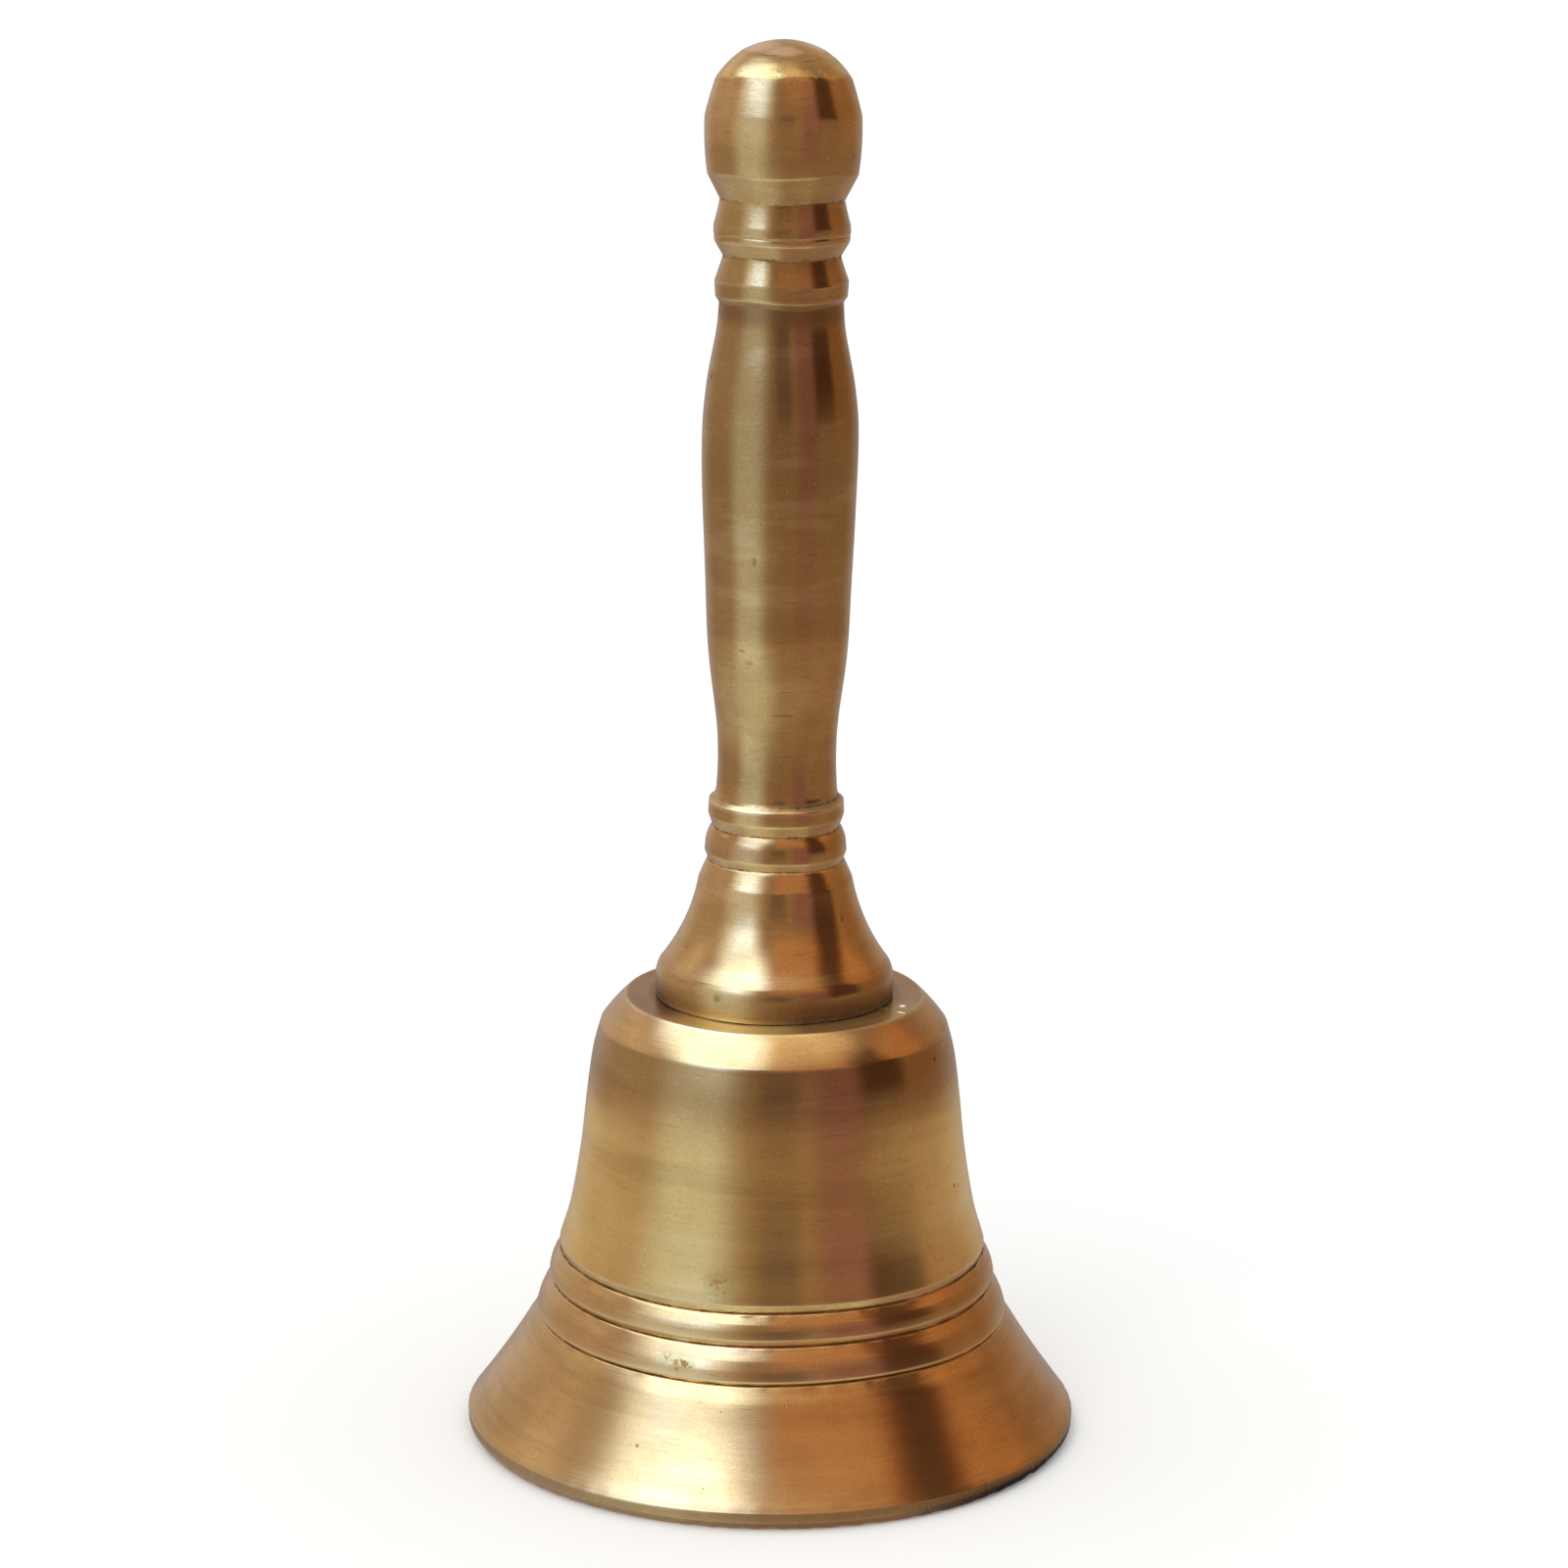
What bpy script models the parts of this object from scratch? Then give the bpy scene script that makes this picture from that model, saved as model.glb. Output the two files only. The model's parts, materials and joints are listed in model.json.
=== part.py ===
"""A brass hand bell: a turned handle bolted to a flared cup, with a clapper hung inside on a ring.

Metres, +Z up. The origin is the centre of the plane on which the lip rests.
Outlines are (radius, height) in millimetres and are turned about the Z axis.
"""

import math

import bmesh
import bpy
from mathutils import Matrix, Vector

MM = 0.001
GAP = 0.3  # clearance between pieces that touch on the real bell

# Cup, outside
LIP_FACE_RADIUS = 32.3
LIP_RADIUS = 33.0
LIP_EDGE_HEIGHT = 1.9
LIP_BAND = 0.3  # height of the upright band at the lip's edge
FLARE_TOP = (26.55, 11.3)
FLARE_HOLLOW = -0.18  # the flare curves in from a straight cone by this much
GROOVES = ((25.5, 13.0), (24.12, 16.75), (23.15, 20.05))
GROOVE_DEPTH = 0.4
GROOVE_HALF_WIDTH = 0.38
GROOVE_SLOPE = 0.35  # change of radius with height across the grooved bands
BAND_CROWN = 0.1
BODY_CURVE = ((22.95, 20.75), (21.8, 25.0), (20.75, 31.5), (20.15, 37.0), (19.5, 42.0), (18.65, 45.3))
SHOULDER_CROWN = 0.12
CROWN_RADIUS = 15.9
CROWN_HEIGHT = 48.4

# Cup, inside
INNER_CURVE = ((17.3, 40.0), (18.5, 30.0), (20.7, 19.5), (23.9, 10.8), (27.2, 5.0), (30.5, 0.0))
CEILING_HEIGHT = 45.9
CEILING_RADIUS = 12.5
CEILING_ROUND = 4.4
CROWN_HOLE_RADIUS = 2.4

# Handle
HANDLE_TOP = 150.0
DOME_CAP = (4.35, 148.85)
DOME_CAP_CROWN = 0.28
DOME_EDGE = (7.07, 145.9)
DOME_CROWN = 0.22
KNOB_BEND = (8.13, 142.2)
KNOB_CORNER = (7.85, 136.2)
KNOB_CROWN = 0.14
KNOB_GROOVE = (6.5, 133.6)
UPPER_BEAD = (7.13, 131.0)
UPPER_BEAD_EDGE = (7.03, 129.3)
UPPER_GROOVE = (6.15, 127.8)
SECOND_BEAD = (7.0, 125.2)
SECOND_BEAD_EDGE = (6.9, 123.6)
GRIP_CURVE = (
    (6.5, 123.0), (6.75, 120.0), (7.85, 113.8), (8.2, 107.5), (7.72, 94.0),
    (7.38, 86.0), (6.48, 78.5), (6.3, 74.5), (6.55, 70.7),
)
COLLAR_TOP = (7.2, 69.9)
COLLAR_EDGE = (7.25, 68.4)
COLLAR_GROOVE = (6.8, 67.15)
LOWER_BEAD = (7.5, 65.4)
LOWER_BEAD_EDGE = (7.58, 64.4)
LOWER_GROOVE = (7.2, 63.45)
BEAD_CROWN = 0.07
CONE_TOP = (8.2, 61.4)
CONE_BASE = (12.35, 52.1)
CONE_HOLLOW = -0.62
FOOT_EDGE = (12.72, 50.9)
FOOT_HEIGHT = CROWN_HEIGHT + GAP
BORE_RADIUS = 2.3
BORE_TOP = 62.0
BORE_TIP = 63.3

# Eyebolt, washer and nut that hold the cup to the handle
SHANK_RADIUS = BORE_RADIUS - GAP
SHANK_TOP = BORE_TOP - GAP
SHANK_CHAMFER = 0.4
NUT_CHAMFER = 0.7  # height of a nut's chamfer, as a share of how far its corners stand out from its flats
NUT_BLANK_SPARE = 0.001  # how far a nut's turned blank stands clear of its corners
WASHER_RADIUS = 5.2
WASHER_THICKNESS = 0.8
NUT_FLATS = 7.0
NUT_HEIGHT = 2.4
EYE_RADIUS = 2.7  # to the middle of the wire, as for the link and the loop
EYE_WIRE = 0.75

# Ring between the eyebolt and the clapper
LINK_RADIUS = 2.75
LINK_WIRE = 0.6
LINK_SEAM = math.radians(12)  # left open where the ends of the wire meet

# Clapper
LOOP_RADIUS = 2.1
LOOP_START = math.radians(-50)  # counted from straight down towards +X
LOOP_END = math.radians(36 - 360)
ROD_WIRE = 0.85
ROD_BEND = ((0, -2.2), (-0.45, -0.87))  # where the rod bends, from the bottom of its loop
ROD_BEND_BULGE = 0.11
ROD_END = 1.3
BALL_RADIUS = 5.9
BALL_HEIGHT = 9.2
LOCKNUT_FLATS = 4.2
LOCKNUT_HEIGHT = 1.5

# Heights down the stack under the crown
WASHER_BASE = CEILING_HEIGHT - GAP - WASHER_THICKNESS
NUT_BASE = WASHER_BASE - GAP - NUT_HEIGHT
EYE_HEIGHT = NUT_BASE - GAP - EYE_RADIUS - EYE_WIRE
LINK_HEIGHT = EYE_HEIGHT - EYE_RADIUS + EYE_WIRE + GAP + LINK_WIRE - LINK_RADIUS
CLAPPER_PIVOT = LINK_HEIGHT - LINK_RADIUS
LOOP_HEIGHT = CLAPPER_PIVOT + LINK_WIRE + GAP + ROD_WIRE - LOOP_RADIUS

# Fineness of the meshes
CUP_SEGMENTS = 48
HANDLE_SEGMENTS = 32
SMALL_SEGMENTS = 24
CURVE_STEPS = 2
BEAD_STEPS = 2
SHOULDER_STEPS = 3
KNOB_STEPS = 3
CEILING_STEPS = 4
FLARE_STEPS = 5
CONE_STEPS = 6
BALL_STEPS = 12
WIRE_SEGMENTS = 10
WIRE_BEVEL = 3
RING_STEPS = 24
BEND_STEPS = 3
LOOP_STEPS = 18
SMOOTH_ANGLE = math.radians(35)
MERGE = 1e-7

BRASS = (0.72, 0.46, 0.17)
BRASS_ROUGHNESS = 0.32
DARK_BRASS = (0.50, 0.31, 0.12)
DARK_BRASS_ROUGHNESS = 0.5
STEEL = (0.46, 0.45, 0.43)
STEEL_ROUGHNESS = 0.4


def clear_scene():
    for obj in list(bpy.data.objects):
        bpy.data.objects.remove(obj, do_unlink=True)


def metal(name, colour, roughness):
    material = bpy.data.materials.new(name)
    material.use_nodes = True
    shader = material.node_tree.nodes["Principled BSDF"]
    shader.inputs["Base Color"].default_value = (*colour, 1.0)
    shader.inputs["Metallic"].default_value = 1.0
    shader.inputs["Roughness"].default_value = roughness
    material.diffuse_color = (*colour, 1.0)
    return material


def add_pivot(name, height):
    """An empty on the Z axis, where a moving body turns."""
    pivot = bpy.data.objects.new(name, None)
    pivot.location = (0, 0, height * MM)
    bpy.context.collection.objects.link(pivot)
    bpy.context.view_layer.update()
    return pivot


def add_object(name, data, material, pivot=None):
    """Links an object whose data is in world coordinates. Its origin is the world's or its pivot's."""
    obj = bpy.data.objects.new(name, data)
    bpy.context.collection.objects.link(obj)
    data.materials.append(material)
    if pivot:
        obj.parent = pivot
        data.transform(pivot.matrix_world.inverted())
    return obj


def add_solid(name, bm, material, pivot=None):
    bmesh.ops.recalc_face_normals(bm, faces=bm.faces)
    mesh = bpy.data.meshes.new(name)
    bm.to_mesh(mesh)
    bm.free()
    mesh.shade_smooth()
    mesh.set_sharp_from_angle(angle=SMOOTH_ANGLE)
    return add_object(name, mesh, material, pivot)


def join_by(obj, other, operation):
    """Applies another object's shape to obj, and hides the other as a guide."""
    other.hide_render = True
    other.display_type = "WIRE"
    boolean = obj.modifiers.new(operation.title(), "BOOLEAN")
    boolean.operation = operation
    boolean.object = other


def arc(start, end, bulge, steps):
    """Points from start to end along an arc. A positive bulge lies to the right of the way along."""
    a, b = Vector(start), Vector(end)
    half = (b - a).length / 2
    radius = (half * half + bulge * bulge) / (2 * bulge)
    right = Vector((b.y - a.y, a.x - b.x)).normalized()
    centre = (a + b) / 2 + right * (bulge - radius)
    sweep = 4 * math.atan(bulge / half)
    turns = (Matrix.Rotation(sweep * step / steps, 2) for step in range(steps + 1))
    return [tuple(centre + turn @ (a - centre)) for turn in turns]


def smooth_curve(knots, steps):
    """A Catmull-Rom curve through the knots, with this many steps in each span."""
    inner = [Vector(knot) for knot in knots]
    padded = [2 * inner[0] - inner[1], *inner, 2 * inner[-1] - inner[-2]]
    points = []
    for a, b, c, d in zip(padded, padded[1:], padded[2:], padded[3:]):
        for step in range(steps):
            t = step / steps
            bend = 2 * a - 5 * b + 4 * c - d
            points.append(tuple(b + (t * (c - a) + t**2 * bend + t**3 * (3 * b - a - 3 * c + d)) / 2))
    return points + [tuple(knots[-1])]


def turn(name, outline, segments, material, pivot=None):
    """Spins an outline about Z into a solid. It is a loop, or a line that starts and ends on the axis."""
    bm = bmesh.new()
    points = [bm.verts.new((radius * MM, 0, height * MM)) for radius, height in outline]
    edges = [bm.edges.new(pair) for pair in zip(points, points[1:])]
    if outline[0][0] > 0:
        edges.append(bm.edges.new((points[-1], points[0])))
    bmesh.ops.spin(
        bm, geom=points + edges, axis=(0, 0, 1), cent=(0, 0, 0),
        angle=math.tau, steps=segments, use_merge=True,
    )
    bmesh.ops.remove_doubles(bm, verts=bm.verts, dist=MERGE)
    return add_solid(name, bm, material, pivot)


def bent_wire(name, path, radius, material, pivot=None):
    """A round wire with closed ends along a path in the XZ plane, in millimetres."""
    wire = bpy.data.curves.new(name, "CURVE")
    wire.dimensions = "3D"
    wire.bevel_depth = radius * MM
    wire.bevel_resolution = WIRE_BEVEL
    wire.use_fill_caps = True
    spline = wire.splines.new("POLY")
    spline.points.add(len(path) - 1)
    for point, (x, z) in zip(spline.points, path):
        point.co = (x * MM, 0, z * MM, 1)
    spline.use_smooth = True
    return add_object(name, wire, material, pivot)


def circle_point(radius, height, angle):
    """The point of a circle in the XZ plane, with the angle counted from straight down towards +X."""
    return (radius * math.sin(angle), height - radius * math.cos(angle))


def hex_nut(name, flats, height, bore, base, material, pivot=None):
    """A hexagon of this width across its flats, cut to a turned blank that rounds off its corners."""
    corner = flats / math.sqrt(3)
    chamfer = (corner - flats / 2) * NUT_CHAMFER
    side = corner + NUT_BLANK_SPARE
    blank = [
        (bore, base), (flats / 2, base), (side, base + chamfer),
        (side, base + height - chamfer), (flats / 2, base + height), (bore, base + height),
    ]
    nut = turn(name, blank, SMALL_SEGMENTS, material, pivot)
    bm = bmesh.new()
    bmesh.ops.create_cone(
        bm, cap_ends=True, segments=6, radius1=corner * MM, radius2=corner * MM, depth=2 * height * MM
    )
    bmesh.ops.translate(bm, verts=bm.verts, vec=(0, 0, (base + height / 2) * MM))
    join_by(nut, add_solid(name + "_hexagon", bm, material), "INTERSECT")
    return nut


def bell_cup(brass):
    outline = [(LIP_FACE_RADIUS, 0), (LIP_RADIUS, LIP_EDGE_HEIGHT - LIP_BAND), (LIP_RADIUS, LIP_EDGE_HEIGHT)]
    outline += arc(outline[-1], FLARE_TOP, FLARE_HOLLOW, FLARE_STEPS)[1:]
    slant = GROOVE_SLOPE * GROOVE_HALF_WIDTH
    for radius, height in GROOVES:
        lower_edge = (radius + slant, height - GROOVE_HALF_WIDTH)
        outline += arc(outline[-1], lower_edge, BAND_CROWN, BEAD_STEPS)[1:]
        outline += [(radius - GROOVE_DEPTH, height), (radius - slant, height + GROOVE_HALF_WIDTH)]
    outline += smooth_curve(BODY_CURVE, CURVE_STEPS)[1:]
    outline += arc(BODY_CURVE[-1], (CROWN_RADIUS, CROWN_HEIGHT), SHOULDER_CROWN, SHOULDER_STEPS)[1:]
    outline += [(CROWN_HOLE_RADIUS, CROWN_HEIGHT), (CROWN_HOLE_RADIUS, CEILING_HEIGHT)]
    corner_round = arc(
        (CEILING_RADIUS, CEILING_HEIGHT),
        (CEILING_RADIUS + CEILING_ROUND, CEILING_HEIGHT - CEILING_ROUND),
        -CEILING_ROUND * (1 - math.cos(math.pi / 4)), CEILING_STEPS,
    )
    outline += corner_round + smooth_curve(INNER_CURVE, CURVE_STEPS)
    return turn("bell_cup", outline, CUP_SEGMENTS, brass)


def handle(brass):
    outline = [(0, BORE_TIP), (BORE_RADIUS, BORE_TOP), (BORE_RADIUS, FOOT_HEIGHT)]
    outline += [(FOOT_EDGE[0], FOOT_HEIGHT), FOOT_EDGE]
    outline += arc(FOOT_EDGE, CONE_BASE, BEAD_CROWN, BEAD_STEPS)[1:]
    outline += arc(CONE_BASE, CONE_TOP, CONE_HOLLOW, CONE_STEPS)[1:]
    outline.append(LOWER_GROOVE)
    outline += arc(LOWER_BEAD_EDGE, LOWER_BEAD, BEAD_CROWN, BEAD_STEPS)
    outline.append(COLLAR_GROOVE)
    outline += arc(COLLAR_EDGE, COLLAR_TOP, BEAD_CROWN, BEAD_STEPS)
    outline += reversed(smooth_curve(GRIP_CURVE, CURVE_STEPS))
    outline += arc(SECOND_BEAD_EDGE, SECOND_BEAD, BEAD_CROWN, BEAD_STEPS)
    outline += arc(SECOND_BEAD, UPPER_GROOVE, BEAD_CROWN, BEAD_STEPS)[1:]
    outline += arc(UPPER_BEAD_EDGE, UPPER_BEAD, BEAD_CROWN, BEAD_STEPS)
    outline += arc(UPPER_BEAD, KNOB_GROOVE, BEAD_CROWN, BEAD_STEPS)[1:]
    outline += arc(KNOB_CORNER, KNOB_BEND, KNOB_CROWN, KNOB_STEPS)
    outline += arc(KNOB_BEND, DOME_EDGE, KNOB_CROWN, KNOB_STEPS)[1:]
    outline += arc(DOME_EDGE, DOME_CAP, DOME_CROWN, KNOB_STEPS)[1:]
    outline += arc(DOME_CAP, (0, HANDLE_TOP), DOME_CAP_CROWN, KNOB_STEPS)[1:]
    return turn("handle", outline, HANDLE_SEGMENTS, brass)


def eyebolt(brass):
    """A stud that screws up into the handle, with a ring eye below the nut."""
    neck = EYE_HEIGHT + EYE_RADIUS
    shank = [
        (0, neck), (EYE_WIRE, neck), (SHANK_RADIUS, neck + EYE_WIRE + GAP),
        (SHANK_RADIUS, SHANK_TOP - SHANK_CHAMFER), (SHANK_RADIUS - SHANK_CHAMFER, SHANK_TOP),
        (0, SHANK_TOP),
    ]
    bolt = turn("clapper_eyebolt", shank, SMALL_SEGMENTS, brass)
    bm = bmesh.new()
    circle = bmesh.ops.create_circle(bm, segments=WIRE_SEGMENTS, radius=EYE_WIRE * MM)["verts"]
    bmesh.ops.translate(bm, verts=circle, vec=(EYE_RADIUS * MM, 0, 0))
    bmesh.ops.spin(
        bm, geom=bm.verts[:] + bm.edges[:], axis=(0, 1, 0), cent=(0, 0, 0),
        angle=math.tau, steps=RING_STEPS, use_merge=True,
    )
    bmesh.ops.translate(bm, verts=bm.verts, vec=(0, 0, EYE_HEIGHT * MM))
    join_by(bolt, add_solid("eye_ring", bm, brass), "UNION")
    return bolt


def washer(brass):
    top = WASHER_BASE + WASHER_THICKNESS
    outline = [(BORE_RADIUS, top), (WASHER_RADIUS, top)]
    outline += [(WASHER_RADIUS, WASHER_BASE), (BORE_RADIUS, WASHER_BASE)]
    return turn("crown_washer", outline, SMALL_SEGMENTS, brass)


def link(steel, pivot):
    """A ring bent from wire, hung in the eye and at right angles to it."""
    start = math.pi / 2 + LINK_SEAM / 2
    turns = (start + (math.tau - LINK_SEAM) * step / RING_STEPS for step in range(RING_STEPS + 1))
    path = [circle_point(LINK_RADIUS, LINK_HEIGHT, angle) for angle in turns]
    ring = bent_wire("clapper_link", path, LINK_WIRE, steel, pivot)
    ring.rotation_euler.z = math.pi / 2
    return ring


def rod(steel, pivot):
    """A wire whose top is bent into a loop round the link, and whose straight end carries the ball."""
    start, end = ((x, LOOP_HEIGHT - LOOP_RADIUS + drop) for x, drop in ROD_BEND)
    path = [(0, ROD_END)] + arc(start, end, ROD_BEND_BULGE, BEND_STEPS)
    turns = (LOOP_START + (LOOP_END - LOOP_START) * step / LOOP_STEPS for step in range(LOOP_STEPS + 1))
    path += [circle_point(LOOP_RADIUS, LOOP_HEIGHT, angle) for angle in turns]
    return bent_wire("clapper_rod", path, ROD_WIRE, steel, pivot)


def ball(brass, pivot):
    bore = ROD_WIRE + GAP
    reach = math.sqrt(BALL_RADIUS**2 - bore**2)
    outline = arc((bore, BALL_HEIGHT - reach), (bore, BALL_HEIGHT + reach), BALL_RADIUS - bore, BALL_STEPS)
    return turn("clapper_ball", outline, SMALL_SEGMENTS, brass, pivot)


def main():
    clear_scene()
    brass = metal("turned_brass", BRASS, BRASS_ROUGHNESS)
    dark_brass = metal("dull_brass", DARK_BRASS, DARK_BRASS_ROUGHNESS)
    steel = metal("steel_wire", STEEL, STEEL_ROUGHNESS)
    bell_cup(brass)
    handle(brass)
    eyebolt(dark_brass)
    washer(dark_brass)
    hex_nut("crown_nut", NUT_FLATS, NUT_HEIGHT, BORE_RADIUS, NUT_BASE, dark_brass)
    link_pivot = add_pivot("link_pivot", LINK_HEIGHT)
    link(steel, link_pivot)
    clapper_pivot = add_pivot("clapper_pivot", CLAPPER_PIVOT)
    rod(steel, clapper_pivot)
    ball(brass, clapper_pivot)
    locknut_base = BALL_HEIGHT - BALL_RADIUS - LOCKNUT_HEIGHT
    hex_nut(
        "clapper_locknut", LOCKNUT_FLATS, LOCKNUT_HEIGHT, ROD_WIRE + GAP, locknut_base,
        dark_brass, clapper_pivot,
    )


main()
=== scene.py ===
import json
from math import atan, cos, pi, radians, sin, sqrt, tau

import bpy
import numpy as np
from mathutils import Matrix, Vector

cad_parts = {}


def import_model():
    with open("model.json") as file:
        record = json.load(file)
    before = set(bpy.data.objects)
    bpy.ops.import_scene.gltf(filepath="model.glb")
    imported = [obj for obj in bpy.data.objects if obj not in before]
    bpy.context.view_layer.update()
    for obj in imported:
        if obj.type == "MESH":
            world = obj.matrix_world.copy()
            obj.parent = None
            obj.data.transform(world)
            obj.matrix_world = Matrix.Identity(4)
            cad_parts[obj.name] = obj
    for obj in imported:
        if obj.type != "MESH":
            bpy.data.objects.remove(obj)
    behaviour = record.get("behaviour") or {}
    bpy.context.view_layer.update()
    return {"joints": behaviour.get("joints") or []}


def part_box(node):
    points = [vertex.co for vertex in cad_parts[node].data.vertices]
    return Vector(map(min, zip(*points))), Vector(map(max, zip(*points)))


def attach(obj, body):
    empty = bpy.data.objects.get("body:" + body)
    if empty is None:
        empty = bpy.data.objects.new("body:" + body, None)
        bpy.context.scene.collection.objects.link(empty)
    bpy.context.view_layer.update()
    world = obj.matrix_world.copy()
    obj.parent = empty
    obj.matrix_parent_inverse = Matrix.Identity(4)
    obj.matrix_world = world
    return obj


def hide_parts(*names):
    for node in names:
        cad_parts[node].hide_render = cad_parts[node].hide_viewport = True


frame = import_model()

MM = 0.001

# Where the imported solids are. Sizes below are millimetres, and outlines are (radius, height).
CUP_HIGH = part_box("bell_cup")[1] / MM
HANDLE_LOW, HANDLE_HIGH = (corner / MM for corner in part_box("handle"))
NUT_LOW, NUT_HIGH = (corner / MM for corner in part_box("crown_nut"))
WASHER_LOW, WASHER_HIGH = (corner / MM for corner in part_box("crown_washer"))
BOLT_LOW, BOLT_HIGH = (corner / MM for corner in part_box("clapper_eyebolt"))
ROD_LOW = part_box("clapper_rod")[0] / MM
BALL_LOW, BALL_HIGH = (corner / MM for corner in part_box("clapper_ball"))
LOCKNUT_LOW, LOCKNUT_HIGH = (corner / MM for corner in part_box("clapper_locknut"))
JOINTS = {joint["name"]: joint["pos_m"][2] / MM for joint in frame["joints"]}

# How finely each piece is turned: how far its edges are worn round, its longest step along the outline, its
# segments round the axis and the turn in degrees that starts a new row
CUP_MESH = (0.06, 0.62, 296, 9)
HANDLE_MESH = (0.06, 0.55, 200, 9)
NUT_MESH = (0.035, 0.12, 96, 9)
WASHER_MESH = (0.04, 0.25, 96, 9)
STUD_MESH = (0.03, 0.09, 48, 30)
BALL_MESH = (0.08, 0.3, 96, 9)
ROW_PITCH = 0.03
HOLLOW_REACH = 0.4
HOLLOW_FULL = 0.12

# Cup
LIP_RADIUS = CUP_HIGH.x
LIP_FACE_RADIUS = 32.3
LIP_SIDE = (LIP_RADIUS - 0.05, 0.9)
LIP_EDGE_HEIGHT = 1.9
FLARE_TOP = (26.48, 11.45)
FLARE_HOLLOW = 0.18
# From the flare up, each of these runs in to the floor of a groove and out again to the foot of a band.
FIRST_GROOVE = ((25.37, 12.9), (25.08, 13.0), (25.40, 13.24), (25.49, 13.5))
LOWER_BAND = ((25.18, 14.55), (24.78, 15.46), (23.98, 16.64), (23.70, 16.74), (23.86, 16.93), (24.12, 17.52))
UPPER_BAND = ((23.95, 18.35), (23.67, 19.05), (23.06, 19.93), (22.76, 20.02), (22.86, 20.2), (23.02, 20.96))
GROOVE_FLOORS = (FIRST_GROOVE[1], LOWER_BAND[3], UPPER_BAND[3])
BODY_CURVE = ((22.97, 21.12), (21.85, 25.0), (20.75, 31.5), (20.15, 37.0), (19.5, 42.0), (18.65, 45.3))
SHOULDER_BULGE = 0.12
CROWN_RADIUS = 15.9
CROWN_HEIGHT = CUP_HIGH.z
CROWN_HOLE_RADIUS = 2.4
CEILING = (12.5, 45.9)
CEILING_ROUND = 4.4
INNER_CURVE = ((17.3, 40.0), (18.5, 30.0), (20.7, 19.5), (23.9, 10.8), (27.2, 5.0), (30.5, 0.0))
OUTSIDE_FROM = 17.0  # the smallest radius of the wall's outside
# How uneven the cup is
CUP_WANDER = 0.045
CUP_OUT_OF_ROUND = 0.018
CUP_SCAR_DEPTH = 0.02
SILT_DEPTH = 0.09
SILT_REACH = 0.14
LIP_RAG = 0.07
LIP_RAG_REACH = 0.9
LIP_NICKS = 0.025
# How dull and how golden it is at each height
CUP_DULL = ((37.5, 0), (41.5, 0.75), (45.1, 0.75), (45.5, 0))
CUP_BLOOM = ((20.8, 0), (21.1, 0.8), (25, 1), (36, 1), (40.5, 0))

# Handle, from the foot up
FOOT_HEIGHT = HANDLE_LOW.z
FOOT_EDGE = (HANDLE_HIGH.x, 50.9)
FOOT_SKIRT = 0.22  # how far the foot's rim hangs below its middle
BORE = ((0, 63.3), (2.3, 62.0), (2.3, FOOT_HEIGHT))
FOOT_BULGE = 0.05
CONE_BASE = (12.35, 52.1)
CONE_HOLLOW = 0.62
CONE_TOP = (8.2, 61.4)
CONE_STEP = (7.35, 63.33)
LOWER_GROOVE = (7.2, 63.45)
LOWER_BEAD_EDGE = (7.58, 64.4)
LOWER_BEAD = (7.5, 65.4)
LOWER_BEAD_BULGE = 0.12
COLLAR_GROOVE = (6.8, 67.15)
COLLAR_EDGE = (7.25, 68.4)
COLLAR_TOP = (7.2, 69.9)
COLLAR_LEDGE = (6.7, 70.28)
GRIP_CURVE = (  # from the top down
    (6.5, 123.0), (6.75, 120.0), (7.85, 113.8), (8.2, 107.5), (7.72, 94.0),
    (7.38, 86.0), (6.48, 78.5), (6.3, 74.5), (6.42, 71.4), (6.55, 70.55),
)
SECOND_BEAD_EDGE = (6.9, 123.6)
SECOND_BEAD = (7.0, 125.2)
UPPER_GROOVE = (6.15, 127.8)
UPPER_BEAD_EDGE = (7.03, 129.3)
UPPER_BEAD_LINE = ((7.12, 129.85), (7.02, 130.0), (7.15, 130.15))
UPPER_BEAD = (7.13, 131.0)
BEAD_HOLLOW = 0.03
KNOB_GROOVE = (6.5, 133.6)
KNOB_CORNER = (7.85, 136.2)
KNOB_BULGE = 0.14
KNOB_BEND = (8.13, 142.2)
KNOB_TOP_BULGE = 0.04
DOME_EDGE = (7.07, 145.9)
DOME_SIDE_BULGE = 0.22
DOME_CAP = (4.35, 148.85)
DOME_BULGE = 0.28
HANDLE_TOP = HANDLE_HIGH.z
HANDLE_OUTSIDE_FROM = 5
# How uneven the handle is, and how far back its rings lean at each height
HANDLE_WANDER = 0.06
HANDLE_OUT_OF_ROUND = 0.02
HANDLE_SCAR_DEPTH = 0.03
KNOB_LEAN = ((122, 0), (128, 0.2), (133.6, 0.25), (136.2, 0.42), (142.2, 0.6), (146, 0.85), (149, 0))
HANDLE_DULL = (
    (50.4, 1), (51.2, 0.4), (53, 0), (63, 0), (65, 0.3), (70, 0.3), (73, 0.6), (79, 0.12), (87.9, 0.2),
    (88.5, 0.55), (94, 0.6), (108, 0.9), (122, 0.8), (126, 0.5), (135, 0.4), (138, 0.5), (142, 0),
)

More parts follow.
